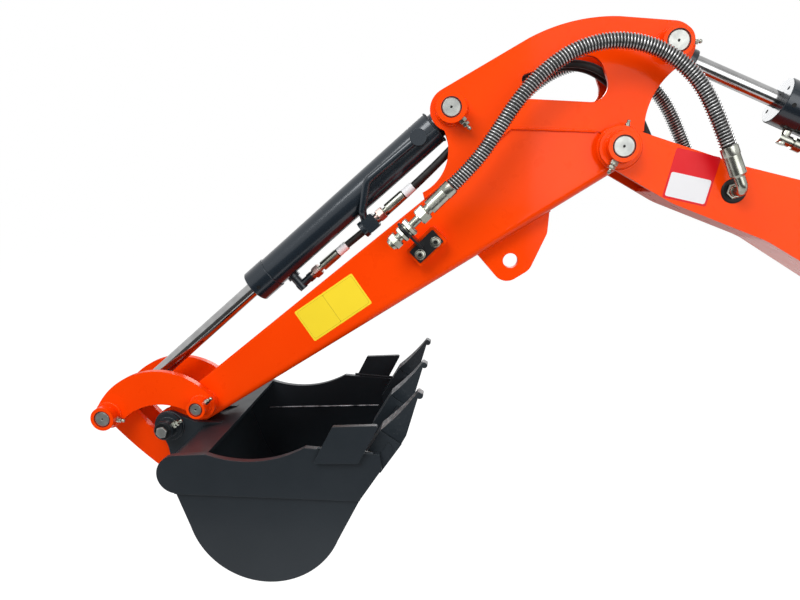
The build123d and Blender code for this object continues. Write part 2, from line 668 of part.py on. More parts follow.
STEP = TOOTH_SPREAD * 2 / (TOOTH_COUNT - 1)
PLACES = [TOOTH_SPREAD - STEP * index for index in range(TOOTH_COUNT)]
with BuildPart() as tooth_adapters:
    for place in PLACES:
        slab(adapter_face.sketch.moved(Location((0, place, 0))), 2 * ADAPTER_HALF)
save(tooth_adapters, "tooth_adapters")
with BuildPart() as bucket_teeth:
    for place in PLACES:
        add(one_tooth.part.moved(Location((0, place, 0))))
save(bucket_teeth, "bucket_teeth")

EAR_END = 24
with BuildSketch(layer(BUCKET, EAR_INNER, EAR_OUTER)) as ear_face:
    with BuildLine():
        Line((-8, 22), (-46, 8))
        Line((-46, 8), (-90, 8))
        Line((-90, 8), (-110, -140))
        Line((-110, -140), (-20, -112))
        Line((-20, -112), (7, -80))
        ThreePointArc((7, -80), (3, -50), (14, -19))
        Line((14, -19), (-8, 22))
    make_face()
    Circle(EAR_END)
    with Locations(LINK_ON_BUCKET):
        Circle(EAR_END)
with BuildPart() as bucket_ears:
    slab(ear_face.sketch, EAR_OUTER - EAR_INNER)
    slab(shell_profile.sketch, 2 * SHELL_HALF, Mode.SUBTRACT)
    disc(BUCKET, (0, 0), EAR_END, EAR_OUTER, EAR_OUTER + 6)
    disc(BUCKET, (0, 0), SMALL_PIN + 6, EAR_OUTER, BUCKET_PIN_HALF)
    disc(BUCKET, LINK_ON_BUCKET, LINK_TUBE, EAR_OUTER, EAR_OUTER + 6)
    mirror(about=Plane.XZ)
    through(BUCKET, (0, 0), SMALL_PIN + PRESS_GAP, 100, Mode.SUBTRACT)
    through(BUCKET, LINK_ON_BUCKET, LINK_PIN + PRESS_GAP, 100, Mode.SUBTRACT)
save(bucket_ears, "bucket_ears")

with BuildPart() as bucket_pins:
    through(BUCKET, (0, 0), SMALL_PIN, BUCKET_PIN_HALF - 2)
    both_discs(BUCKET, LINK_ON_BUCKET, LINK_PIN, EAR_INNER, EAR_OUTER + 6)
save(bucket_pins, "bucket_pins")


def end_plane(cylinder, distance):
    """A plane across a cylinder's axis, at a distance from its base pin."""
    return Plane(origin=spot(cylinder, (distance, 0)), x_dir=(0, 1, 0), z_dir=cylinder.x_dir)


def bar(plane, radius, length, mode=Mode.ADD):
    """A round bar along a cylinder's axis."""
    with BuildSketch(plane) as face:
        Circle(radius)
    extrude(face.sketch, amount=length, mode=mode)


def rounds(plane, centre, steps):
    """Turned sections in a row along a fitting: each step is a start, an end and a radius."""
    for start, end, radius in steps:
        with BuildSketch(Plane(origin=centre + plane.x_dir * start, z_dir=plane.x_dir)) as section:
            Circle(radius)
        extrude(section.sketch, amount=end - start)


def post(cylinder, at, across, radius, length):
    """A round post square to a cylinder's axis that points down from it."""
    foot = spot(cylinder, at) + Vector(0, across, 0)
    with BuildSketch(Plane(origin=foot, x_dir=(0, 1, 0), z_dir=cylinder.y_dir * -1)) as face:
        Circle(radius)
    extrude(face.sketch, amount=length)


EYE_RADIUS = 24
BARREL_START = 36
BARREL_FLOOR = 14
GLAND_START = BARREL_LENGTH - GLAND_LENGTH


def barrel_tube(cylinder, radius, base_pin, base_half):
    """A cylinder's tube with its closed end, neck and base eye."""
    bar(end_plane(cylinder, BARREL_START), radius, GLAND_START - BARREL_START)
    bar(end_plane(cylinder, BARREL_START + BARREL_FLOOR), radius - BARREL_WALL, BARREL_LENGTH, Mode.SUBTRACT)
    bar(end_plane(cylinder, EYE_RADIUS / 2), radius - 6, BARREL_START - EYE_RADIUS / 2)
    through(cylinder, (0, 0), EYE_RADIUS, base_half)
    through(cylinder, (0, 0), base_pin + RUNNING_GAP, 60, Mode.SUBTRACT)


GLAND_PROUD = 1.5
SPANNER_HOLE = 3
SPANNER_DEPTH = 6
ARM_DRAWN_IN = 160
ROD_WELD = 4
SOCKET_DEPTH = 13 + ROD_WELD + 0.1
for name, cylinder, reach, barrel_radius, eye_pin, eye_half, drawn_in in (
    ("arm", ARM_CYLINDER, ARM_CYLINDER_REACH, ARM_BARREL, LARGE_PIN, GOOSENECK_GAP - SIDE_GAP, ARM_DRAWN_IN),
    ("bucket", BUCKET_CYLINDER, BUCKET_CYLINDER_REACH, BUCKET_BARREL, LINK_PIN, LINK_INNER - 2, 0),
):
    with BuildPart() as gland:
        bar(end_plane(cylinder, GLAND_START), barrel_radius + GLAND_PROUD, GLAND_LENGTH)
        chamfer(gland.edges().filter_by(GeomType.CIRCLE), 1.2)
        bar(end_plane(cylinder, GLAND_START), ROD_RADIUS + RUNNING_GAP, GLAND_LENGTH, Mode.SUBTRACT)
        with BuildSketch(end_plane(cylinder, BARREL_LENGTH)) as spanner_holes:
            with PolarLocations((ROD_RADIUS + barrel_radius) / 2, 2, 45):
                Circle(SPANNER_HOLE)
        extrude(spanner_holes.sketch, amount=-SPANNER_DEPTH, mode=Mode.SUBTRACT)
    save(gland, f"{name}_cylinder_gland")
    rod_end = GLAND_START - 6 - drawn_in
    piston_radius = barrel_radius - BARREL_WALL - RUNNING_GAP
    with BuildPart() as rod:
        bar(end_plane(cylinder, rod_end), ROD_RADIUS, reach - EYE_RADIUS + ROD_WELD - rod_end)
        bar(end_plane(cylinder, rod_end - PISTON_LENGTH), piston_radius, PISTON_LENGTH)
    save(rod, f"{name}_cylinder_rod")
    with BuildPart() as eye:
        through(cylinder, (reach, 0), EYE_RADIUS, eye_half)
        bar(end_plane(cylinder, reach - EYE_RADIUS - 12), ROD_RADIUS + 5, 20)
        bar(end_plane(cylinder, reach - EYE_RADIUS - 13), ROD_RADIUS + PRESS_GAP, SOCKET_DEPTH, Mode.SUBTRACT)
        through(cylinder, (reach, 0), eye_pin + PRESS_GAP, 60, Mode.SUBTRACT)
    save(eye, f"{name}_cylinder_eye")
    with BuildPart() as eye_core:
        through(cylinder, (reach, 0), eye_pin, eye_half + 0.4)
    save(eye_core, f"{name}_cylinder_eye_pin")

with BuildPart() as arm_cylinder_barrel:
    barrel_tube(ARM_CYLINDER, ARM_BARREL, LARGE_PIN, ARM_BASE_HALF - SIDE_GAP)
save(arm_cylinder_barrel, "arm_cylinder_barrel")

# Arm cylinder: an elbow below each end, the two turned towards each other
GLAND_PORT = 398
BASE_PORT = 74
ELBOW_DROP = 12
ARM_CYLINDER_SLOPE = slope_of(ARM_BASE_PIN, ARM_EYE_PIN)
with BuildPart() as arm_port_adapters:
    for port, surface, slope in (
        (GLAND_PORT, ARM_BARREL + GLAND_PROUD, ARM_CYLINDER_SLOPE + 180),
        (BASE_PORT, ARM_BARREL, ARM_CYLINDER_SLOPE),
    ):
        post(ARM_CYLINDER, (port, -ARM_BARREL / 2), 0, 7, surface + ELBOW_DROP + 8 - ARM_BARREL / 2)
        bar(end_plane(ARM_CYLINDER, port - 12), surface + PRESS_GAP, 24, Mode.SUBTRACT)
        corner = spot(ARM_CYLINDER, (port, -surface - ELBOW_DROP))
        rounds(side_plane((0, 0, 0), slope), corner, [(-8, 12, 8), (12, 16, 6), (16, 30, 9.5)])
save(arm_port_adapters, "arm_port_adapters")

# Bucket cylinder: a port at its base with a pipe down to the upper hose, and an elbow for the lower hose
FEED_LINE = -48
UPPER_HOSE_END = 120
LOWER_HOSE_END = 269
FITTING_LENGTH = 80
PIPE_RADIUS = 6.5
PIPE_OUT = BUCKET_BARREL + PIPE_RADIUS - 0.5
PORT_AT = (65, 2)
PORT_RADIUS = 13
BLOCK_LENGTH = 22
ELBOW_LENGTH = 26
PORT_FOOT = -BUCKET_BARREL + 4
BLOCK_START = UPPER_HOSE_END + FITTING_LENGTH
PIPE_ROUTE = [
    (PORT_AT[0], PORT_AT[1], PIPE_OUT),
    (PORT_AT[0] + 105, PORT_AT[1] + 3, PIPE_OUT),
    (BLOCK_START + 8, -26, 26),
    (BLOCK_START + 16, FEED_LINE + 8, FEED_HALF + 1),
]
with BuildPart() as bucket_cylinder_barrel:
    barrel_tube(BUCKET_CYLINDER, BUCKET_BARREL, BASE_PIN, GOOSENECK_GAP - SIDE_GAP)
    disc(BUCKET_CYLINDER, PORT_AT, PORT_RADIUS, BUCKET_BARREL - 3.5, PIPE_OUT + PIPE_RADIUS + 1)
    pipe_points = []
    for along, up, across in PIPE_ROUTE:
        pipe_points.append(spot(BUCKET_CYLINDER, (along, up)) + Vector(0, across, 0))
    with BuildLine() as pipe_line:
        FilletPolyline(*pipe_points, radius=[20, 16])
    with BuildSketch(Plane(origin=pipe_points[0], z_dir=pipe_points[1] - pipe_points[0])):
        Circle(PIPE_RADIUS)
    sweep(path=pipe_line.wire())
    with BuildSketch(layer(BUCKET_CYLINDER, FEED_HALF - 11, FEED_HALF + 11)) as block_face:
        with Locations((BLOCK_START + BLOCK_LENGTH / 2, FEED_LINE)):
            RectangleRounded(BLOCK_LENGTH, 26, 4)
    slab(block_face.sketch, 22)
    upper = spot(BUCKET_CYLINDER, (BLOCK_START, FEED_LINE)) + Vector(0, FEED_HALF, 0)
    rounds(BUCKET_CYLINDER, upper, [(BLOCK_LENGTH, BLOCK_LENGTH + 7, 14)])
    elbow_end = LOWER_HOSE_END + FITTING_LENGTH + ELBOW_LENGTH
    lower = spot(BUCKET_CYLINDER, (elbow_end, FEED_LINE)) + Vector(0, -FEED_HALF, 0)
    rounds(BUCKET_CYLINDER, lower, [(-ELBOW_LENGTH, -ELBOW_LENGTH + 8, 8), (-ELBOW_LENGTH, 7, 6.8)])
    post(BUCKET_CYLINDER, (elbow_end, PORT_FOOT), -FEED_HALF, 8, PORT_FOOT - FEED_LINE + 8)
    post(BUCKET_CYLINDER, (elbow_end, PORT_FOOT), -FEED_HALF, 11, 9)
save(bucket_cylinder_barrel, "bucket_cylinder_barrel")

with BuildPart() as bucket_hose_fittings:
    for start, side in ((UPPER_HOSE_END, 1), (LOWER_HOSE_END, -1)):
        hose_end = spot(BUCKET_CYLINDER, (start, FEED_LINE)) + Vector(0, side * FEED_HALF, 0)
        rounds(
            BUCKET_CYLINDER,
            hose_end,
            [
                (RUNNING_GAP, 20, 7.6),
                (20, 21.5, 6.6),
                (21.5, 56, 8.4),
                (56, 62, 5.2),
                (62, 75, 9.6),
                (75, FITTING_LENGTH, 7),
            ],
        )
save(bucket_hose_fittings, "bucket_hose_fittings")

# The clamp between the gooseneck's plates that holds the bucket cylinder's hoses
CLAMP_BACK = 171
CLAMP_LENGTH = 20
CLAMP_TOP = 151
CLAMP_HALF = 24
CLAMP_FRONT = CLAMP_BACK + CLAMP_LENGTH
CLAMP_FOOT_BACK = (CLAMP_BACK, TAPER_AT_PIVOT + TAPER * CLAMP_BACK)
CLAMP_FOOT_FRONT = (CLAMP_FRONT, TAPER_AT_PIVOT + TAPER * CLAMP_FRONT)
with BuildSketch(layer(DIPPER, -CLAMP_HALF, CLAMP_HALF)) as clamp_face:
    with BuildLine():
        FilletPolyline(
            CLAMP_FOOT_BACK,
            (CLAMP_BACK, CLAMP_TOP),
            (CLAMP_FRONT, CLAMP_TOP),
            CLAMP_FOOT_FRONT,
            radius=3,
        )
        Line(CLAMP_FOOT_FRONT, CLAMP_FOOT_BACK)
    make_face()
with BuildPart() as hose_clamp:
    slab(clamp_face.sketch, 2 * CLAMP_HALF)
save(hose_clamp, "hose_clamp")

# Hoses: auxiliary ones on the arm's sides; the bucket cylinder's in two lengths that meet at the clamp
AUXILIARY_ROUTE = [
    (942, 1031),
    (962.3, 1077.7),
    (993, 1128),
    (1040, 1164),
    (1100, 1179),
    (1158, 1168),
    (1205, 1136),
    (1240, 1096),
    (1268, 1052),
    (1296, 1010),
    (1332, 975),
]
BOOM_FEED_ROUTE = [
    (952.9, 969.8),
    (983.9, 986.8),
    (1006.6, 1006.0),
    (1022.2, 1026.9),
    (1034.5, 1050.5),
    (1045.3, 1072.4),
    (1058.6, 1095.9),
    (1074.3, 1116.8),
    (1096.3, 1138.3),
    (1124.5, 1154.7),
    (1158.3, 1159.3),
    (1194.0, 1152.0),
    (1227.9, 1134.5),
    (1256.9, 1111.3),
    (1281.2, 1086.0),
    (1305.0, 1063.1),
]
UPPER_FEED_ROUTE = [
    (1321.8, 1045.4),
    (1338.1, 1028.4),
    (1356.5, 1009.9),
    (1375.3, 991.9),
    (1393.0, 975.7),
]
LOWER_FEED_ROUTE = [
    (1321.8, 1045.4),
    (1343.7, 1022.6),
    (1374.2, 992.1),
    (1410.6, 957.8),
    (1448.1, 924.7),
    (1479.7, 898.6),
    (1505.6, 878.0),
]

for name, points, across, radius in (
    ("auxiliary_hose_left", AUXILIARY_ROUTE, HOSE_HALF, HOSE_RADIUS),
    ("auxiliary_hose_right", AUXILIARY_ROUTE, -HOSE_HALF, HOSE_RADIUS),
    ("boom_feed_hose_left", BOOM_FEED_ROUTE, FEED_HALF, FEED_RADIUS),
    ("boom_feed_hose_right", BOOM_FEED_ROUTE, -FEED_HALF, FEED_RADIUS),
    ("bucket_feed_hose_upper", UPPER_FEED_ROUTE, FEED_HALF, FEED_RADIUS),
    ("bucket_feed_hose_lower", LOWER_FEED_ROUTE, -FEED_HALF, FEED_RADIUS),
):
    route = [Vector(x, across, z) for x, z in points]
    radii = []
    for before, here, after in zip(route, route[1:], route[2:]):
        turn = (here - before).get_angle(after - here)
        run = min((here - before).length, (after - here).length)
        radii.append(0.45 * run / tan(radians(turn / 2)))
    with BuildPart() as hose:
        with BuildLine() as hose_line:
            FilletPolyline(*route, radius=radii)
        with BuildSketch(Plane(origin=route[0], z_dir=route[1] - route[0])):
            Circle(radius)
        hose_path = hose_line.wire()
        sweep(path=hose_path)
    print(name, "bends", [round(bend) for bend in radii], "length", round(hose_path.length))
    print(name, "volume", round(hose.part.volume), "of", round(hose_path.length * pi * radius**2))
    save(hose, name)

# Hose ends: elbows out of the boom's sides, and unions in brackets on the dipper's sides
HOSE_START = Vector(AUXILIARY_ROUTE[0][0], HOSE_HALF, AUXILIARY_ROUTE[0][1])
ELBOW_SLOPE = slope_of(spot(BOOM_NOSE, HOSE_HOLE), HOSE_START)
ELBOW_RADIUS = 7.5
FERRULE_RADIUS = 11.5
FERRULE_LENGTH = 42
ELBOW_PLANE = side_plane(HOSE_START, ELBOW_SLOPE)
SLEEVE_FOOT = BOOM_NOSE_HALF - BOOM_PLATE - 2
with BuildPart() as boom_hose_elbows:
    corner = spot(BOOM_NOSE, HOSE_HOLE)
    corner.Y = HOSE_HALF
    out = polar(1, ELBOW_SLOPE)
    with BuildLine() as elbow_line:
        FilletPolyline(corner - Vector(0, 50, 0), corner, HOSE_START - out * FERRULE_LENGTH, radius=12)
    with BuildSketch(Plane(origin=corner - Vector(0, 50, 0), z_dir=(0, 1, 0))):
        Circle(ELBOW_RADIUS)
    sweep(path=elbow_line.wire())
    rounds(ELBOW_PLANE, HOSE_START, [(-FERRULE_LENGTH, -RUNNING_GAP, FERRULE_RADIUS)])
    disc(BOOM_NOSE, HOSE_HOLE, HOSE_HOLE_RADIUS - RUNNING_GAP, SLEEVE_FOOT, BOOM_NOSE_HALF + 2)
    mirror(about=Plane.XZ)
save(boom_hose_elbows, "boom_hose_elbows")

HOSE_END = Vector(AUXILIARY_ROUTE[-1][0], HOSE_HALF, AUXILIARY_ROUTE[-1][1])
UNION_SLOPE = slope_of(Vector(AUXILIARY_ROUTE[-2][0], 0, AUXILIARY_ROUTE[-2][1]), HOSE_END)
UNION = side_plane(HOSE_END, UNION_SLOPE)
with BuildPart() as hose_unions:
    rounds(
        UNION,
        HOSE_END,
        [
            (RUNNING_GAP, 45, FERRULE_RADIUS),
            (45, 51, 8),
            (51, 67, 12),
            (67, 82, 6.5),
            (82, 92.7, 12.5),
            (92.7, 97.3, 8),
            (97.3, 105, 10.5),
            (105, 110, 7),
            (110, 123, 11),
        ],
    )
    mirror(about=Plane.XZ)
save(hose_unions, "hose_unions")

PAD_AT = (320.6, 27.5)
PAD_OUT = 57
PAD_SLOPE = UNION_SLOPE - DIPPER_SLOPE
with BuildPart() as hose_pads:
    with BuildSketch(layer(DIPPER, DIPPER_HALF, PAD_OUT)) as pad_face:
        with Locations(Location(PAD_AT, PAD_SLOPE)):
            RectangleRounded(58, 34, 5)
    slab(pad_face.sketch, PAD_OUT - DIPPER_HALF)
    mirror(about=Plane.XZ)
save(hose_pads, "hose_pads")

BRACKET_SHEET = 4
with BuildPart() as hose_brackets:
    with BuildSketch(layer(DIPPER, PAD_OUT, PAD_OUT + BRACKET_SHEET)) as bracket_foot:
        with Locations(Location(PAD_AT, PAD_SLOPE)):
            RectangleRounded(50, 25, 2)
    slab(bracket_foot.sketch, BRACKET_SHEET)
    ring_plane = Plane(origin=HOSE_END + UNION.x_dir * 93, x_dir=(0, 1, 0), z_dir=UNION.x_dir)
    with BuildSketch(ring_plane) as ring_face:
        Circle(16)
        with Locations((-(HOSE_HALF - PAD_OUT) / 2 + 4, -18)):
            Rectangle(HOSE_HALF - PAD_OUT + 8, 36)
        Circle(8.2, mode=Mode.SUBTRACT)
    extrude(ring_face.sketch, amount=BRACKET_SHEET)
    mirror(about=Plane.XZ)
save(hose_brackets, "hose_brackets")
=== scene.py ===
import json
import math

import bmesh
import bpy
from mathutils import Matrix, Vector


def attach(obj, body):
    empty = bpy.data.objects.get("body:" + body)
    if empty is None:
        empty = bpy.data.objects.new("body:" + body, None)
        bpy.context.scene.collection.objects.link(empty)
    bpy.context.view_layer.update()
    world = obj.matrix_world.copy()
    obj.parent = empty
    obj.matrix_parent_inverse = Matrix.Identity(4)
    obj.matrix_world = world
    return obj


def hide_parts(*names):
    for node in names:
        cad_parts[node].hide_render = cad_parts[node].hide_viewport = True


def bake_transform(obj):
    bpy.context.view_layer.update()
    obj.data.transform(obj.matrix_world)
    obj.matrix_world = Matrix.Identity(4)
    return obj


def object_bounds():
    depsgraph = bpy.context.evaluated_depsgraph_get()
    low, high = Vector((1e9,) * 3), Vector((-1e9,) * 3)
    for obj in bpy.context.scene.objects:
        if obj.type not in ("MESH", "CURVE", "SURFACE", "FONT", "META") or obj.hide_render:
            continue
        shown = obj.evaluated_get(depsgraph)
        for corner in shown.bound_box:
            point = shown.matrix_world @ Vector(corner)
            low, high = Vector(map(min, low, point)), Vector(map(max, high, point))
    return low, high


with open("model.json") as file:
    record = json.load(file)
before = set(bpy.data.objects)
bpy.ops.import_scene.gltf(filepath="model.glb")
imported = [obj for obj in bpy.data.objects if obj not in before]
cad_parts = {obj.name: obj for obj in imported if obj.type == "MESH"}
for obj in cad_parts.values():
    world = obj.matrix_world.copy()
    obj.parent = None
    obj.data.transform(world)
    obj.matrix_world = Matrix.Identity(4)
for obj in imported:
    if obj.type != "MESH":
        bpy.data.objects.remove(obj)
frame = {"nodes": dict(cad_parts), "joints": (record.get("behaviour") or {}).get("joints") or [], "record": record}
cad_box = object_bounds()
MM = 0.001
ACROSS = Vector((0, 1, 0))

# Camera
CAMERA_AT = Vector((1.330, 1.050, 0.980))
CAMERA_RIGHT = Vector((-0.9966984, -0.0811935, 0.0))
CAMERA_UP = Vector((0.0146012, -0.1792384, 0.9836973))
LENS = 28.8


def add_camera():
    data = bpy.data.cameras.new("camera")
    data.lens = LENS
    data.sensor_width = 36
    data.clip_start = 0.01
    camera = bpy.data.objects.new("camera", data)
    axes = Matrix((CAMERA_RIGHT, CAMERA_UP, CAMERA_RIGHT.cross(CAMERA_UP))).transposed()
    camera.matrix_world = Matrix.Translation(CAMERA_AT) @ axes.to_4x4()
    bpy.context.scene.collection.objects.link(camera)
    bpy.context.scene.camera = camera


# Side views: places along and square to a slope of the arm, in millimetres from a pin
class Side:
    def __init__(self, origin, slope=0.0):
        turn = math.radians(slope)
        self.origin = Vector(origin)
        self.along = Vector((math.cos(turn), 0, math.sin(turn)))
        self.up = Vector((-math.sin(turn), 0, math.cos(turn)))

    def at(self, x, z, y=0.0):
        return self.origin + (self.along * x + self.up * z + ACROSS * y) * MM

    def toward(self, degrees):
        turn = math.radians(degrees)
        return self.along * math.cos(turn) + self.up * math.sin(turn)


def pin(joint):
    """Where a joint's pin stands at rest."""
    return Vector(next(row for row in frame["joints"] if row["name"] == joint)["pos_m"])


def slope_between(start, end):
    return math.degrees(math.atan2(end.z - start.z, end.x - start.x))


NOSE_SLOPE = 20.6
PIVOT = pin("dipper_pivot")
BUCKET_PIN = pin("bucket_curl")
NOSE = Side(PIVOT, NOSE_SLOPE)
DIPPER = Side(PIVOT, slope_between(PIVOT, BUCKET_PIN))
BUCKET = Side(BUCKET_PIN)
ARM_EYE = DIPPER.at(-137.8, 85.9)
ROD_PIN = pin("link_swing")
BUCKET_CYLINDER = Side(pin("bucket_cylinder_swing"), slope_between(pin("bucket_cylinder_swing"), ROD_PIN))
ARM_CYLINDER = Side(pin("arm_cylinder_swing"), slope_between(pin("arm_cylinder_swing"), ARM_EYE))
LINK_PIN = BUCKET.at(-14, -89)


# Materials
class Graph:
    """A material's node tree, with short ways to add to it."""

    def __init__(self, name):
        self.material = bpy.data.materials.new(name)
        self.material.use_nodes = True
        self.nodes = self.material.node_tree.nodes
        self.links = self.material.node_tree.links
        self.shader = self.nodes["Principled BSDF"]

    def node(self, kind, **inputs):
        made = self.nodes.new(kind)
        for key, value in inputs.items():
            made.inputs[key.replace("_", " ")].default_value = value
        return made

    def link(self, output, target):
        self.links.new(output, target)

    def set(self, **values):
        for key, value in values.items():
            self.shader.inputs[key.replace("_", " ")].default_value = value

    def position(self):
        return self.nodes.new("ShaderNodeNewGeometry").outputs["Position"]

    def noise(self, scale, detail=4, rough=0.5):
        made = self.node("ShaderNodeTexNoise", Scale=scale, Detail=detail, Roughness=rough)
        self.link(self.position(), made.inputs["Vector"])
        return made.outputs["Fac"]

    def ramp(self, source, stops):
        made = self.nodes.new("ShaderNodeValToRGB")
        while len(made.color_ramp.elements) < len(stops):
            made.color_ramp.elements.new(0.5)
        for element, (at, colour) in zip(made.color_ramp.elements, stops):
            element.position = at
            element.color = colour if len(colour) == 4 else (*colour, 1)
        self.link(source, made.inputs["Fac"])
        return made.outputs["Color"]

    def span(self, source, low, high):
        made = self.nodes.new("ShaderNodeMapRange")
        made.inputs["To Min"].default_value = low
        made.inputs["To Max"].default_value = high
        self.link(source, made.inputs["Value"])
        return made.outputs["Result"]

    def bump(self, source, height, strength, under=None):
        made = self.node("ShaderNodeBump", Strength=strength, Distance=height)
        self.link(source, made.inputs["Height"])
        if under:
            self.link(under, made.inputs["Normal"])
        return made.outputs["Normal"]

    def rounded(self, radius):
        made = self.node("ShaderNodeBevel", Radius=radius)
        made.samples = 4
        return made.outputs["Normal"]


def grey(value):
    return (value, value, value)


def paint(name, deep, light, tint, level, rough, coat, peel, edge):
    """Sprayed paint over welded plate: a little colour drift, orange peel and softened edges."""
    g = Graph(name)
    g.set(Metallic=0.0, Specular_IOR_Level=level, Specular_Tint=(*tint, 1))
    g.set(Coat_Weight=coat, Coat_Roughness=0.1)
    g.link(g.ramp(g.noise(3.5, 3), [(0.3, deep), (0.7, light)]), g.shader.inputs["Base Color"])
    g.link(g.span(g.noise(40, 3), rough - 0.05, rough + 0.07), g.shader.inputs["Roughness"])
    g.link(g.bump(g.noise(700, 2), peel, 0.25, g.rounded(edge)), g.shader.inputs["Normal"])
    return g.material


def metal(name, dark, light, rough, edge=0.0006, scratch=0.00004):
    g = Graph(name)
    g.set(Metallic=1.0)
    g.link(g.ramp(g.noise(60, 5), [(0.35, dark), (0.65, light)]), g.shader.inputs["Base Color"])
    g.link(g.span(g.noise(220, 4), rough - 0.06, rough + 0.1), g.shader.inputs["Roughness"])
    g.link(g.bump(g.noise(900, 3), scratch, 0.4, g.rounded(edge)), g.shader.inputs["Normal"])
    return g.material


def worn_steel():
    """Cast teeth: dark paint, mottled lighter grey on the faces that look up."""
    g = Graph("worn_steel")
    g.set(Metallic=0.15, Specular_IOR_Level=0.3)
    shape = g.nodes.new("ShaderNodeNewGeometry")
    split = g.nodes.new("ShaderNodeSeparateXYZ")
    g.link(shape.outputs["Normal"], split.inputs[0])
    upward_mottle = g.nodes.new("ShaderNodeMath")
    upward_mottle.operation = "MULTIPLY_ADD"
    upward_mottle.inputs[1].default_value = 0.45
    g.link(split.outputs["Z"], upward_mottle.inputs[0])
    g.link(g.noise(160, 6, 0.7), upward_mottle.inputs[2])
    tones = [(0.62, (0.012, 0.017, 0.022)), (0.76, (0.04, 0.046, 0.052)), (0.95, (0.3, 0.31, 0.32))]
    g.link(g.ramp(upward_mottle.outputs[0], tones), g.shader.inputs["Base Color"])
    g.link(g.span(g.noise(240, 4), 0.3, 0.5), g.shader.inputs["Roughness"])
    g.link(g.bump(g.noise(300, 4), 0.0002, 0.5, g.rounded(0.0012)), g.shader.inputs["Normal"])
    return g.material


def rubber(name, shade=0.014):
    g = Graph(name)
    g.set(Specular_IOR_Level=0.25)
    tones = [(0.3, grey(shade * 0.6)), (0.7, grey(shade * 1.4))]
    g.link(g.ramp(g.noise(90, 4), tones), g.shader.inputs["Base Color"])
    g.link(g.span(g.noise(160, 3), 0.4, 0.6), g.shader.inputs["Roughness"])
    g.link(g.bump(g.noise(1200, 2), 0.0001, 0.5), g.shader.inputs["Normal"])
    return g.material


def film(name, colour, rough=0.35):
    """Printed sticker film, very slightly uneven."""
    g = Graph(name)
    g.set(Specular_IOR_Level=0.2)
    tones = [(0.2, [channel * 0.93 for channel in colour]), (0.8, colour)]
    g.link(g.ramp(g.noise(12, 2), tones), g.shader.inputs["Base Color"])
    g.link(g.span(g.noise(60, 2), rough - 0.05, rough + 0.08), g.shader.inputs["Roughness"])
    g.link(g.bump(g.noise(300, 2), 0.00003, 0.3), g.shader.inputs["Normal"])
    return g.material


ORANGE_TONES = ((0.91, 0.047, 0.0), (0.99, 0.064, 0.001), (1.0, 0.25, 0.06))
ORANGE = paint("orange_paint", *ORANGE_TONES, 0.3, 0.28, 0.13, 0.00006, 0.0012)
FOLDED = paint("orange_folded_plate", *ORANGE_TONES, 0.3, 0.28, 0.22, 0.00006, 0.006)
DARK_TONES = ((0.012, 0.016, 0.02), (0.019, 0.024, 0.029), (0.9, 0.95, 1.0))
DARK = paint("dark_paint", *DARK_TONES, 0.3, 0.34, 0.06, 0.00008, 0.001)
BARREL_TONES = ((0.006, 0.011, 0.017), (0.01, 0.016, 0.023), (0.9, 0.95, 1.0))
BARREL = paint("barrel_paint", *BARREL_TONES, 0.4, 0.24, 0.3, 0.00012, 0.0014)
FIXING_TONES = ((0.003, 0.004, 0.005), (0.006, 0.007, 0.009), (1.0, 1.0, 1.0))
FIXING = paint("fixing_paint", *FIXING_TONES, 0.3, 0.3, 0.1, 0.0001, 0.0008)
CHROME = metal("chrome_rod", grey(0.34), grey(0.42), 0.12, 0.0003, 0.00001)
PIN = metal("pin_steel", (0.26, 0.27, 0.26), (0.38, 0.39, 0.37), 0.38)
ZINC = metal("zinc_fitting", (0.24, 0.25, 0.21), (0.42, 0.43, 0.38), 0.24)
SEAM = metal("seam_weld", (0.03, 0.035, 0.04), (0.5, 0.52, 0.55), 0.4, 0.0006, 0.0004)
COPPERY = metal("coppery_zinc", (0.26, 0.17, 0.15), (0.42, 0.3, 0.28), 0.26)
SPRING = metal("spring_guard", grey(0.26), grey(0.44), 0.24)
WORN = worn_steel()
RUBBER = rubber("hose_rubber")
# Black rubber for grommets and hose lines; the same black is painted shade in pin gaps, hole bottoms, screw
# sockets and gland holes.
BLACK_RUBBER_AND_SHADE = rubber("black_rubber_and_painted_shade", 0.004)
YELLOW = film("yellow_film", (0.93, 0.7, 0.03))
YELLOW_LINE = film("yellow_line", (0.55, 0.4, 0.02))
RED = film("red_film", (0.72, 0.004, 0.01))
WHITE = film("white_film", (0.82, 0.82, 0.84))
SLOT_MATERIALS = {
    "orange_paint": ORANGE,
    "dark_paint": DARK,
    "chrome_rod": CHROME,
    "pin_steel": PIN,
    "zinc_fitting": ZINC,
    "worn_steel": WORN,
    "hose_rubber": RUBBER,
}
NODE_MATERIALS = {
    "dipper_channel": FOLDED,
    "arm_cylinder_barrel": BARREL,
    "arm_cylinder_gland": BARREL,
    "bucket_cylinder_barrel": BARREL,
    "bucket_cylinder_gland": BARREL,
    "hose_brackets": FIXING,
    "hose_clamp": FIXING,
}


def dress_cad_nodes():
    """Give each construction node its slot's finish, with smooth curves and crisp edges."""
    for row in frame["record"]["subparts"]:
        node = frame["nodes"][row["node"]]
        node.data.materials.clear()
        node.data.materials.append(NODE_MATERIALS.get(row["node"], SLOT_MATERIALS[row["material_slot"]]))
        node.data.shade_smooth()
        weld = node.modifiers.new("weld", "WELD")
        weld.merge_threshold = 0.00002
        split = node.modifiers.new("split", "EDGE_SPLIT")
        split.split_angle = math.radians(32)


# Mesh helpers
def piece(name, mesh, material, body):
    """Link a finished mesh as a named piece that rides on a body, or stays on no body if it names none."""
    obj = bpy.data.objects.new(name, mesh)
    mesh.materials.append(material)
    bpy.context.scene.collection.objects.link(obj)
    if body:
        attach(obj, body)
    return obj


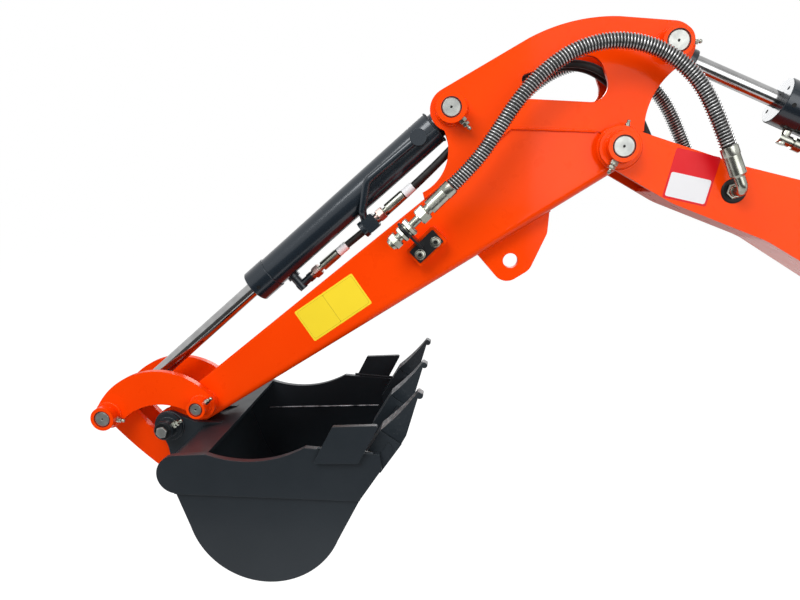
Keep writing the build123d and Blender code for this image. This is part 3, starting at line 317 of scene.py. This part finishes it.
def curve_points(points, resolution=12):
    """Points read from the smooth NURBS line that these control points give."""
    curve = bpy.data.curves.new("route", "CURVE")
    curve.dimensions = "3D"
    curve.resolution_u = resolution
    spline = curve.splines.new("NURBS")
    spline.points.add(len(points) - 1)
    for point, place in zip(spline.points, points):
        point.co = (*place, 1)
    spline.order_u = 3
    spline.use_endpoint_u = True
    obj = bpy.data.objects.new("route", curve)
    bpy.context.scene.collection.objects.link(obj)
    mesh = bpy.data.meshes.new_from_object(obj.evaluated_get(bpy.context.evaluated_depsgraph_get()))
    line = [vertex.co.copy() for vertex in mesh.vertices]
    bpy.data.objects.remove(obj)
    bpy.data.meshes.remove(mesh)
    return line


def length_of(line):
    return sum((b - a).length for a, b in zip(line, line[1:]))


def frames_along(line):
    """A point, a direction and two sideways directions for each point of a line, without twist."""
    side = Vector((0, 1, 0))
    rows = []
    for index, point in enumerate(line):
        ahead = line[min(index + 1, len(line) - 1)] - line[max(index - 1, 0)]
        ahead.normalize()
        if abs(side.dot(ahead)) > 0.95:
            side = ahead.orthogonal()
        side = (side - ahead * side.dot(ahead)).normalized()
        rows.append((point, ahead, side, ahead.cross(side)))
    return rows


def resample(line, step):
    """Even points along a line, for the pieces that follow it."""
    total = length_of(line)
    count = max(2, round(total / step) + 1)
    wanted = [total * k / (count - 1) for k in range(count)]
    out, walked, index = [], 0, 0
    for want in wanted:
        while index < len(line) - 2 and walked + (line[index + 1] - line[index]).length < want:
            walked += (line[index + 1] - line[index]).length
            index += 1
        run = (line[index + 1] - line[index]).length
        out.append(line[index].lerp(line[index + 1], min(1, (want - walked) / max(run, 1e-9))))
    return out


def coil_line(line, radius, pitch, per_turn=16):
    """A helix round a line, for a spring guard."""
    rows = frames_along(resample(line, pitch / per_turn))
    out = []
    for index, (point, ahead, side, up) in enumerate(rows):
        turn = 2 * math.pi * index / per_turn
        out.append(point + (side * math.cos(turn) + up * math.sin(turn)) * radius)
    return out


def skin(bm, rings, closed=False):
    """Join rings of vertices into a surface. A ring of one vertex closes to a point."""
    pairs = list(zip(rings, rings[1:]))
    if closed:
        pairs.append((rings[-1], rings[0]))
    for a, b in pairs:
        count = max(len(a), len(b))
        for k in range(count):
            n = (k + 1) % count
            if len(a) == 1:
                bm.faces.new((a[0], b[n], b[k]))
            elif len(b) == 1:
                bm.faces.new((a[k], a[n], b[0]))
            else:
                bm.faces.new((a[k], a[n], b[n], b[k]))


BEAD_STEP = 1.1
BEAD_SIDES = 8
SPLIT_ANGLE = 35
SOFT_SPLIT = 60


class Batch:
    """Small pieces of one material on one body, gathered into a single mesh."""

    def __init__(self, name, material, body, slot):
        self.name, self.material, self.body, self.slot = name, material, body, slot
        self.bm = bmesh.new()

    def ring(self, point, side, up, radius, sides):
        made = []
        for k in range(sides):
            turn = 2 * math.pi * k / sides
            out = side * math.cos(turn) + up * math.sin(turn)
            made.append(self.bm.verts.new(point + out * radius * MM))
        return made

    def turned(self, centre, axis, profile, sides=28):
        """A turned form: pairs of radius and height along an axis, closed where the radius is 0."""
        axis = axis.normalized()
        side = axis.orthogonal().normalized()
        up = axis.cross(side)
        rings = []
        for radius, height in profile:
            spot = centre + axis * height * MM
            if radius == 0:
                rings.append([self.bm.verts.new(spot)])
            else:
                rings.append(self.ring(spot, side, up, radius, sides))
        skin(self.bm, rings)

    def hexagon(self, centre, axis, flats, start, end, bore=0.0):
        """A hex nut with chamfered corners, between two heights along an axis."""
        corner = flats / math.sqrt(3)
        cut = flats * 0.07
        profile = [(bore, start), (corner - cut, start), (corner, start + cut), (corner, end - cut)]
        profile += [(corner - cut, end), (bore, end)]
        self.turned(centre, axis, profile, 6)

    def tube(self, line, radius, sides=10, bulge=None, closed=False):
        """A round tube along a line. bulge gives a share of the radius for each place along it."""
        rows = frames_along(line)
        rings, walked = [], 0
        for index, (point, ahead, side, up) in enumerate(rows):
            if index:
                walked += (point - rows[index - 1][0]).length
            share = bulge(walked / MM) if bulge else 1
            rings.append(self.ring(point, side, up, radius * share, sides))
        skin(self.bm, rings, closed)
        if not closed:
            self.bm.faces.new(list(reversed(rings[0])))
            self.bm.faces.new(rings[-1])

    def bead(self, line, radius):
        """A weld bead: overlapping ripples of slightly uneven size."""
        self.tube(resample(line, BEAD_STEP * MM), radius, BEAD_SIDES, ripple)

    def bead_ring(self, centre, radius, bead, axis=ACROSS):
        side = axis.orthogonal().normalized()
        up = axis.cross(side)
        count = max(24, round(2 * math.pi * radius / BEAD_STEP))
        rings = []
        for k in range(count):
            turn = 2 * math.pi * k / count
            out = side * math.cos(turn) + up * math.sin(turn)
            share = ripple(radius * turn)
            rings.append(self.ring(centre + out * radius * MM, out, axis, bead * share, BEAD_SIDES))
        skin(self.bm, rings, closed=True)

    def plate(self, side, outline, low, high):
        """A flat plate in a side view, between two distances across the arm."""
        rings = []
        for across in (low, high):
            rings.append([self.bm.verts.new(side.at(x, z, across)) for x, z in outline])
        skin(self.bm, rings)
        self.bm.faces.new(list(reversed(rings[0])))
        self.bm.faces.new(rings[-1])

    def finish(self, split=SPLIT_ANGLE):
        mesh = bpy.data.meshes.new(self.name)
        bmesh.ops.recalc_face_normals(self.bm, faces=self.bm.faces)
        self.bm.to_mesh(mesh)
        self.bm.free()
        mesh.shade_smooth()
        obj = piece(self.name, mesh, self.material, self.body)
        modifier = obj.modifiers.new("split", "EDGE_SPLIT")
        modifier.split_angle = math.radians(split)
        return obj


def ripple(walked):
    """A weld bead's share of its radius, at a place along it in millimetres."""
    return 0.86 + 0.1 * math.sin(2 * math.pi * walked / 4.2) + 0.06 * math.sin(walked / 7.7 + 1)


def rounded_box(centre, width, height, radius, turn=0.0, steps=5):
    """The outline of a rectangle with round corners, turned by an angle in degrees."""
    cx, cz = centre
    c, s = math.cos(math.radians(turn)), math.sin(math.radians(turn))
    points = []
    for quarter, (sx, sz) in enumerate(((1, 1), (-1, 1), (-1, -1), (1, -1))):
        for k in range(steps + 1):
            angle = math.pi / 2 * (quarter + k / steps)
            x = sx * (width / 2 - radius) + radius * math.cos(angle)
            z = sz * (height / 2 - radius) + radius * math.sin(angle)
            points.append((cx + x * c - z * s, cz + x * s + z * c))
    return points


# Hoses, along the routes that the construction gives them
AUXILIARY_ROUTE = [
    (942, 1031),
    (962.3, 1077.7),
    (993, 1128),
    (1040, 1164),
    (1100, 1179),
    (1158, 1168),
    (1205, 1136),
    (1240, 1096),
    (1268, 1052),
    (1296, 1010),
    (1332, 975),
]
BOOM_FEED_ROUTE = [
    (952.9, 969.8),
    (983.9, 986.8),
    (1006.6, 1006.0),
    (1022.2, 1026.9),
    (1034.5, 1050.5),
    (1045.3, 1072.4),
    (1058.6, 1095.9),
    (1074.3, 1116.8),
    (1096.3, 1138.3),
    (1124.5, 1154.7),
    (1158.3, 1159.3),
    (1194.0, 1152.0),
    (1227.9, 1134.5),
    (1256.9, 1111.3),
    (1281.2, 1086.0),
    (1305.0, 1063.1),
]
UPPER_FEED_ROUTE = [
    (1321.8, 1045.4),
    (1338.1, 1028.4),
    (1356.5, 1009.9),
    (1375.3, 991.9),
    (1393.0, 975.7),
]
LOWER_FEED_ROUTE = [
    (1321.8, 1045.4),
    (1343.7, 1022.6),
    (1374.2, 992.1),
    (1410.6, 957.8),
    (1448.1, 924.7),
    (1479.7, 898.6),
    (1505.6, 878.0),
]
HOSE_HALF = 85
HOSE_RADIUS = 9.5
FEED_HALF = 14
FEED_RADIUS = 6
GUARD_RADIUS = 10.3
GUARD_WIRE = 1.25
GUARD_PITCH = 4.5


def add_hose(node, route, across, radius, guarded=False):
    """A hose along its route, left on no body."""
    places = [Vector((x * MM, across * MM, z * MM)) for x, z in route]
    line = curve_points(places)
    rubber_tube = Batch(node + "_rubber", RUBBER, None, "hose_rubber")
    rubber_tube.tube(line, radius, 20)
    hose = rubber_tube.finish(SOFT_SPLIT)
    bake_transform(hose)
    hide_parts(node)
    if guarded:
        wire = Batch(node + "_guard", SPRING, None, "zinc_fitting")
        wire.tube(coil_line(line, GUARD_RADIUS * MM, GUARD_PITCH * MM), GUARD_WIRE, 8)
        guard = wire.finish(SOFT_SPLIT)
        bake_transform(guard)


def add_hoses():
    for side, name in ((1, "left"), (-1, "right")):
        add_hose("auxiliary_hose_" + name, AUXILIARY_ROUTE, side * HOSE_HALF, HOSE_RADIUS, True)
        add_hose("boom_feed_hose_" + name, BOOM_FEED_ROUTE, side * FEED_HALF, FEED_RADIUS)
    add_hose("bucket_feed_hose_upper", UPPER_FEED_ROUTE, FEED_HALF, FEED_RADIUS)
    add_hose("bucket_feed_hose_lower", LOWER_FEED_ROUTE, -FEED_HALF, FEED_RADIUS)


# Pins: a faced end with a centre hole, in a boss. A black ring on the boss face round the bore and a black cap in
# the centre hole are painted shade.
PIN_ENDS = [
    ("boom", PIVOT, 15, 78, 80),
    ("boom", pin("arm_cylinder_swing"), 15, 54, 56),
    ("dipper", BUCKET_CYLINDER.origin, 14, 64, 66),
    ("dipper", ARM_EYE, 15, 64, 66),
    ("rocker", pin("rocker_swing"), 10, 76, 78),
    ("rocker", ROD_PIN, 12.5, 76, 78),
    ("bucket", LINK_PIN, 12.5, 52, 52),
]
BUCKET_BOSS_HALF = 72
BOLT_FLATS = 17.5
BODY_PAINT = {"boom": ORANGE, "dipper": ORANGE, "rocker": ORANGE, "bucket": DARK}
BODY_SLOT = {
    "boom": "orange_paint",
    "dipper": "orange_paint",
    "rocker": "orange_paint",
    "bucket": "dark_paint",
}


def add_pin_ends():
    for body in BODY_PAINT:
        faces = Batch(body + "_pin_faces", PIN, body, "pin_steel")
        painted_shade = Batch(body + "_pin_painted_shade", BLACK_RUBBER_AND_SHADE, body, "dark_paint")
        for owner, centre, radius, pin_half, boss_half in PIN_ENDS:
            if owner != body:
                continue
            for side in (1, -1):
                out = ACROSS * side
                end = centre + out * pin_half * MM
                rim = centre + out * boss_half * MM
                edge = [(radius - 0.1, 0), (radius - 0.1, 0.8), (radius - 0.9, 1.5)]
                faces.turned(end, out, edge + [(2.1, 1.5), (1.6, 0.9)], 40)
                # painted shade: black at the bottom of the centre hole, and a black ring round the bore on the
                # boss face
                painted_shade.turned(end, out, [(1.7, 0.9), (0, 0.4)], 16)
                ring = [(0.05, -0.8), (0.25, 0.08), (1.3, 0.14), (1.7, -0.05)]
                painted_shade.turned(rim, out, [(radius + wide, high) for wide, high in ring], 40)
        faces.finish()
        painted_shade.finish()
    heads = Batch("bucket_pin_heads", PIN, "bucket", "pin_steel")
    washers = Batch("bucket_pin_washers", FIXING, "bucket", "dark_paint")
    for side in (1, -1):
        out = ACROSS * side
        end = BUCKET_PIN + out * BUCKET_BOSS_HALF * MM
        washers.turned(end, out, [(14.6, -0.6), (14.6, 1.6), (14.0, 2.2), (0, 2.2)], 36)
        heads.hexagon(end, out, BOLT_FLATS, 2.2, 8.5)
        heads.turned(end, out, [(8.4, 8.4), (0, 8.6)], 30)
    heads.finish()
    washers.finish()


# Grease nipples: body, pin centre, boss radius, distance across, angle in the side view, length share
NIPPLES = [
    ("boom", PIVOT, 22.5, 66, -65, 1.0),
    ("boom", PIVOT, 31, 55, 105, 0.5),
    ("dipper", BUCKET_CYLINDER.origin, 23, 51, -133, 1.0),
    ("dipper", ARM_EYE, 22, 50, 178, 0.75),
    ("rocker", pin("rocker_swing"), 16, 66, 145, 0.7),
    ("rocker", ROD_PIN, 20, 66, 190, 0.7),
    ("bucket", BUCKET_PIN, 16, 62, 151, 0.9),
]


def add_nipples():
    for body in BODY_PAINT:
        batch = Batch(body + "_grease_nipples", ZINC, body, "zinc_fitting")
        for owner, centre, boss, across, angle, share in NIPPLES:
            if owner != body:
                continue
            for side in (1, -1):
                out = Side(centre).toward(angle)
                foot = centre + ACROSS * side * across * MM + out * (boss - 1) * MM
                batch.hexagon(foot, out, 10.5 * share + 1, 0, 6 * share + 1)
                batch.turned(foot, out, [(3.6, 6 * share), (3.6, 8 * share)], 16)
                batch.hexagon(foot, out, 9 * share + 1, 8 * share, 13 * share)
                tip = [(2.2, 13 * share), (2.2, 15.5 * share), (3.1, 16.5 * share), (3.1, 18.5 * share)]
                tip += [(2.0, 21 * share), (0, 21.6 * share)]
                batch.turned(foot, out, tip, 16)
        batch.finish()


# Welds: rings round bosses (body, centre, distance across, radius, bead) and runs along seams
WELD_RINGS = [
    ("boom", PIVOT, 50, 31, 3.0),
    ("boom", PIVOT, 60, 22.8, 2.2),
    ("boom", pin("arm_cylinder_swing"), 50, 22.8, 2.4),
    ("dipper", BUCKET_CYLINDER.origin, 34, 23.3, 3.0),
    ("dipper", ARM_EYE, 34, 22.3, 3.0),
    ("dipper", pin("rocker_swing"), 32, 19.3, 2.6),
    ("dipper", BUCKET_PIN, 32, 19.3, 2.2),
    ("rocker", pin("rocker_swing"), 55, 16.4, 3.0),
    ("rocker", ROD_PIN, 55, 20.4, 3.2),
    ("bucket", BUCKET_PIN, 46, 24.2, 2.4),
    ("bucket", BUCKET_PIN, 52, 16.2, 2.0),
    ("bucket", LINK_PIN, 46, 20.2, 2.2),
]
WELD_RUNS = [
    ("dipper", DIPPER, [(14, 37.5), (118, 110.2), (284, 91.6)], 34.2, 2.0),
    ("dipper", DIPPER, [(128, -30.4), (262, -30.4)], 8.6, 2.6),
    ("bucket", BUCKET, [(-286, 28.8), (-368, 23.6)], 185, 2.6),
]
SEAM_RUN = [(-109.5, -44), (-335, -33)]


def add_welds():
    for body, material in BODY_PAINT.items():
        batch = Batch(body + "_welds", material, body, BODY_SLOT[body])
        for owner, centre, across, radius, bead in WELD_RINGS:
            if owner == body:
                for side in (1, -1):
                    batch.bead_ring(centre + ACROSS * side * across * MM, radius, bead)
        for owner, view, points, across, bead in WELD_RUNS:
            if owner == body:
                for side in (1, -1):
                    batch.bead([view.at(x, z, side * across) for x, z in points], bead)
        batch.finish(SOFT_SPLIT)
    seams = Batch("bucket_seam_welds", SEAM, "bucket", "dark_paint")
    for side in (1, -1):
        seams.bead([BUCKET.at(x, z, side * 176.4) for x, z in SEAM_RUN], 2.0)
    seams.finish(SOFT_SPLIT)


# Blank stickers on the left side, a yellow one on the dipper and a red and white one on the boom:
# name, material, width, height, place along and square to the sticker, and height over the plate
DIPPER_STICKER = [
    ("dipper_sticker", YELLOW, 117, 59, 0, 0, 0.25),
    ("dipper_sticker_line", YELLOW_LINE, 111, 53, 0, 0, 0.32),
    ("dipper_sticker_left", YELLOW, 52.4, 52.2, 28.9, 0, 0.4),
    ("dipper_sticker_right", YELLOW, 57.0, 52.2, -26.6, 0, 0.4),
]
BOOM_STICKER = [
    ("boom_sticker", RED, 66, 74, 0, 0, 0.25),
    ("boom_sticker_panel", WHITE, 60, 36, 0, -16, 0.35),
]


def add_sticker(body, view, layers, centre, turn, corner, plate_half):
    c, s = math.cos(math.radians(turn)), math.sin(math.radians(turn))
    for name, material, width, height, along, up, lift in layers:
        batch = Batch(name, material, body, "orange_paint")
        place = (centre[0] + along * c - up * s, centre[1] + along * s + up * c)
        outline = rounded_box(place, width, height, corner, turn)
        batch.plate(view, outline, plate_half, plate_half + lift)
        batch.finish(50)


def add_stickers():
    add_sticker("dipper", DIPPER, DIPPER_STICKER, (506.3, 22.3), -2.1, 2.5, 32.0)
    add_sticker("boom", NOSE, BOOM_STICKER, (-115.7, -3.4), -7.8, 3, 50.0)


# Hose ends: hexes, sleeves, grommets and the bracket's screws
UNION_START = Vector((1332, 0, 975)) * MM
UNION_ALONG = (UNION_START - Vector((1296, 0, 1010)) * MM).normalized()
ELBOW_END = Vector((942, 0, 1031)) * MM
HOSE_HOLE = (-181, 0)
BRACKET_FACE = 61
BRACKET_SCREWS = [(335.5, 22), (305, 26)]
SCREW_HEAD = [(8.4, 0), (8.4, 1.2), (7.6, 1.3), (7.4, 3.2), (6.6, 4.2), (5.0, 4.6), (3.0, 4.6)]
SCREW_SOCKET = [(3.5, 4.6), (3.2, 2.4), (0, 2.0)]
UNION_SLEEVE = [(9.4, 0.4), (12.3, 0.4), (12.3, 13), (11.8, 14), (11.4, 14)]
UNION_CAP = [(9, 121), (9, 126), (7, 127.5), (0, 127.5)]
UNION_HEXES = [(24.4, 51, 67), (27, 82.3, 91), (24, 97.3, 105), (23, 110, 122)]


def add_dipper_fittings():
    zinc = Batch("hose_union_hexes", ZINC, "dipper", "zinc_fitting")
    screws = Batch("bracket_screws", ZINC, "dipper", "zinc_fitting")
    # The screw sockets are lined with black as painted shade.
    socket_shade = Batch("bracket_screw_socket_shade", BLACK_RUBBER_AND_SHADE, "dipper", "dark_paint")
    for side in (1, -1):
        start = UNION_START + ACROSS * side * HOSE_HALF * MM
        zinc.turned(start, UNION_ALONG, UNION_SLEEVE, 32)
        for flats, low, high in UNION_HEXES:
            zinc.hexagon(start, UNION_ALONG, flats, low, high)
        zinc.turned(start, UNION_ALONG, UNION_CAP, 24)
        for x, z in BRACKET_SCREWS:
            foot = DIPPER.at(x, z, side * BRACKET_FACE)
            out = ACROSS * side
            screws.turned(foot, out, SCREW_HEAD, 32)
            socket_shade.turned(foot, out, SCREW_SOCKET, 6)
    for batch in (zinc, screws, socket_shade):
        batch.finish()


BOOM_PLATE_HALF = 50
ELBOW_SLEEVE = [(9.4, 0.4), (12.4, 0.4), (12.4, 13), (11.9, 14), (11.4, 14)]
ELBOW_COLLAR = [(11.6, 40.5), (11.6, 42.2), (8.2, 46), (7.4, 46)]
GROMMET = [(18.4, 0), (18.2, 1.4), (17, 2.4), (15.2, 2.7), (13.4, 2.2), (7.4, 2.2)]
GROMMET_TUBE = [(9.2, 7), (9.2, 11), (8.6, 12), (7.4, 12)]


def add_boom_fittings():
    zinc = Batch("boom_elbow_collars", ZINC, "boom", "zinc_fitting")
    grommets = Batch("boom_hose_grommets", BLACK_RUBBER_AND_SHADE, "boom", "hose_rubber")
    for side in (1, -1):
        out = ACROSS * side
        end = ELBOW_END + out * HOSE_HALF * MM
        hole = NOSE.at(*HOSE_HOLE, side * BOOM_PLATE_HALF)
        up = (end - NOSE.at(*HOSE_HOLE, side * HOSE_HALF)).normalized()
        zinc.turned(end, -up, ELBOW_SLEEVE, 32)
        zinc.turned(end, -up, ELBOW_COLLAR, 32)
        grommets.turned(hole, out, GROMMET, 40)
        zinc.hexagon(hole, out, 21, 2.2, 7, 7.3)
        zinc.turned(hole, out, GROMMET_TUBE, 28)
    zinc.finish()
    grommets.finish()


FEED_LINE = -48
FEED_STARTS = ((120, 1), (269, -1))
BAND = [(6.2, 0.6), (7.75, 0.6), (7.75, 19.6), (7, 19.6)]
BAND_LINE = [(7.2, 19.7), (7.5, 19.9), (7.5, 21.3), (7.2, 21.5)]
NUT_COLLAR = [(7, 75.4), (7.6, 75.6), (7.6, 79.4), (7, 79.6)]
ROD_NECK = [(18, 22), (18, 46), (17.4, 47.5), (16, 48), (13, 48)]
BARREL_RADII = (("bucket_barrel", BUCKET_CYLINDER, 26.5), ("arm_barrel", ARM_CYLINDER, 34))
GLAND_AT = 421
BASE_WELD_AT = 36
GLAND_HOLE = [(3.4, -0.4), (3.2, 0.2), (0, 0.1)]
GLAND_HOLE_ANGLES = (-12, 168)


def add_cylinder_fittings():
    bands = Batch("feed_hose_bands", WHITE, "bucket_barrel", "zinc_fitting")
    lines = Batch("feed_hose_lines", BLACK_RUBBER_AND_SHADE, "bucket_barrel", "hose_rubber")
    nuts = Batch("feed_hose_nuts", COPPERY, "bucket_barrel", "zinc_fitting")
    along = BUCKET_CYLINDER.along
    for start, side in FEED_STARTS:
        end = BUCKET_CYLINDER.at(start, FEED_LINE, side * FEED_HALF)
        bands.turned(end, along, BAND, 28)
        lines.turned(end, along, BAND_LINE, 28)
        nuts.hexagon(end, along, 19.4, 62, 74.6)
        nuts.turned(end, along, NUT_COLLAR, 24)
    for batch in (bands, lines, nuts):
        batch.finish()
    neck = Batch("arm_rod_neck", BARREL, "arm_rod", "dark_paint")
    back = (ARM_CYLINDER.origin - ARM_EYE).normalized()
    neck.turned(ARM_EYE, back, ROD_NECK, 36)
    neck.finish()
    for body, view, radius in BARREL_RADII:
        # The gland holes are near-flat black discs: painted shade in place of cut holes.
        hole_shade = Batch(body + "_gland_hole_shade", BLACK_RUBBER_AND_SHADE, body, "dark_paint")
        beads = Batch(body + "_welds", DARK, body, "dark_paint")
        for angle in GLAND_HOLE_ANGLES:
            turn = math.radians(angle)
            out = (ACROSS * math.cos(turn) + view.up * math.sin(turn)).normalized()
            foot = view.at(GLAND_AT, 0) + out * (radius + 1.5) * MM
            hole_shade.turned(foot, out, GLAND_HOLE, 20)
        beads.bead_ring(view.at(BASE_WELD_AT, 0), radius - 0.6, 2.2, view.along)
        hole_shade.finish()
        beads.finish(SOFT_SPLIT)


# Studio
FLOOR_REACH = 30
FLOOR_DROP = 0.002
FLOOR_SHADE = 0.3
FLOOR_GLOW = 0.865
AMBIENT = 0.45


def add_stage():
    floor_z = cad_box[0].z - FLOOR_DROP
    mesh = bpy.data.meshes.new("floor")
    turns = [(-1, -1), (1, -1), (1, 1), (-1, 1)]
    corners = [(x * FLOOR_REACH, y * FLOOR_REACH, floor_z) for x, y in turns]
    mesh.from_pydata(corners, [], [(0, 1, 2, 3)])
    g = Graph("floor")
    path = g.nodes.new("ShaderNodeLightPath")
    g.set(Base_Color=(*grey(FLOOR_SHADE), 1), Roughness=0.9, Specular_IOR_Level=0.0)
    g.set(Emission_Color=(1, 1, 1, 1))
    seen = g.nodes.new("ShaderNodeMath")
    seen.operation = "MAXIMUM"
    g.link(path.outputs["Is Camera Ray"], seen.inputs[0])
    g.link(path.outputs["Is Glossy Ray"], seen.inputs[1])
    level = g.nodes.new("ShaderNodeMath")
    level.operation = "MULTIPLY"
    level.inputs[1].default_value = FLOOR_GLOW
    g.link(seen.outputs[0], level.inputs[0])
    g.link(level.outputs[0], g.shader.inputs["Emission Strength"])
    floor = bpy.data.objects.new("floor", mesh)
    mesh.materials.append(g.material)
    bpy.context.scene.collection.objects.link(floor)


def add_world():
    world = bpy.data.worlds.new("studio")
    bpy.context.scene.world = world
    world.use_nodes = True
    nodes, links = world.node_tree.nodes, world.node_tree.links
    background = nodes["Background"]
    background.inputs["Color"].default_value = (1, 1, 1, 1)
    path = nodes.new("ShaderNodeLightPath")
    first = nodes.new("ShaderNodeMath")
    first.operation = "MAXIMUM"
    links.new(path.outputs["Is Camera Ray"], first.inputs[0])
    links.new(path.outputs["Is Glossy Ray"], first.inputs[1])
    second = nodes.new("ShaderNodeMath")
    second.operation = "MAXIMUM"
    links.new(first.outputs[0], second.inputs[0])
    links.new(path.outputs["Is Transmission Ray"], second.inputs[1])
    level = nodes.new("ShaderNodeMapRange")
    level.inputs["To Min"].default_value = AMBIENT
    level.inputs["To Max"].default_value = 1.0
    links.new(second.outputs[0], level.inputs["Value"])
    links.new(level.outputs["Result"], background.inputs["Strength"])


def add_lamp(name, at, toward, size, power):
    data = bpy.data.lights.new(name, "AREA")
    data.shape = "RECTANGLE"
    data.size, data.size_y = size
    data.energy = power
    lamp = bpy.data.objects.new(name, data)
    lamp.location = at
    lamp.rotation_mode = "QUATERNION"
    lamp.rotation_quaternion = (Vector(toward) - Vector(at)).to_track_quat("-Z", "Y")
    bpy.context.scene.collection.objects.link(lamp)


def add_lamps():
    middle = (1.3, 0.0, 0.85)
    add_lamp("key", (2.3, 1.9, 2.6), middle, (1.6, 1.2), 55)
    add_lamp("fill", (0.2, 2.2, 1.2), middle, (1.6, 1.6), 22)
    add_lamp("rear", (1.0, -2.2, 2.2), middle, (2.0, 1.2), 30)


def add_card(name, middle, across, up, shade):
    """A dark panel that only shows in reflections, so that bright metal has something to mirror."""
    middle, across, up = Vector(middle), Vector(across), Vector(up)
    corners = [middle + across * a + up * b for a, b in ((-1, -1), (1, -1), (1, 1), (-1, 1))]
    mesh = bpy.data.meshes.new(name)
    mesh.from_pydata([tuple(corner) for corner in corners], [], [(0, 1, 2, 3)])
    g = Graph(name)
    g.set(Base_Color=(0, 0, 0, 1), Specular_IOR_Level=0.0)
    g.set(Emission_Color=(*grey(shade), 1), Emission_Strength=1.0)
    card = bpy.data.objects.new(name, mesh)
    mesh.materials.append(g.material)
    bpy.context.scene.collection.objects.link(card)
    card.visible_camera = False
    card.visible_diffuse = False
    card.visible_shadow = False
    card.visible_transmission = False


def add_cards():
    add_card("dark_floor_card", (1.2, 2.2, 0.05), (3.0, 0, 0), (0, 1.3, 0), 0.1)
    add_card("dark_front_card", (1.2, 3.0, 0.45), (3.0, 0, 0), (0, 0, 0.4), 0.12)
    add_card("dark_high_strip", (1.2, 1.3, 2.7), (2.4, 0, 0), (0, 0.1, 0), 0.12)
    add_card("dark_rear_card", (1.2, -3.0, 0.5), (3.0, 0, 0), (0, 0, 0.5), 0.15)


add_camera()
add_hoses()
dress_cad_nodes()
add_pin_ends()
add_nipples()
add_welds()
add_stickers()
add_dipper_fittings()
add_boom_fittings()
add_cylinder_fittings()
add_stage()
add_world()
add_lamps()
add_cards()
bpy.context.scene.view_settings.view_transform = "Standard"
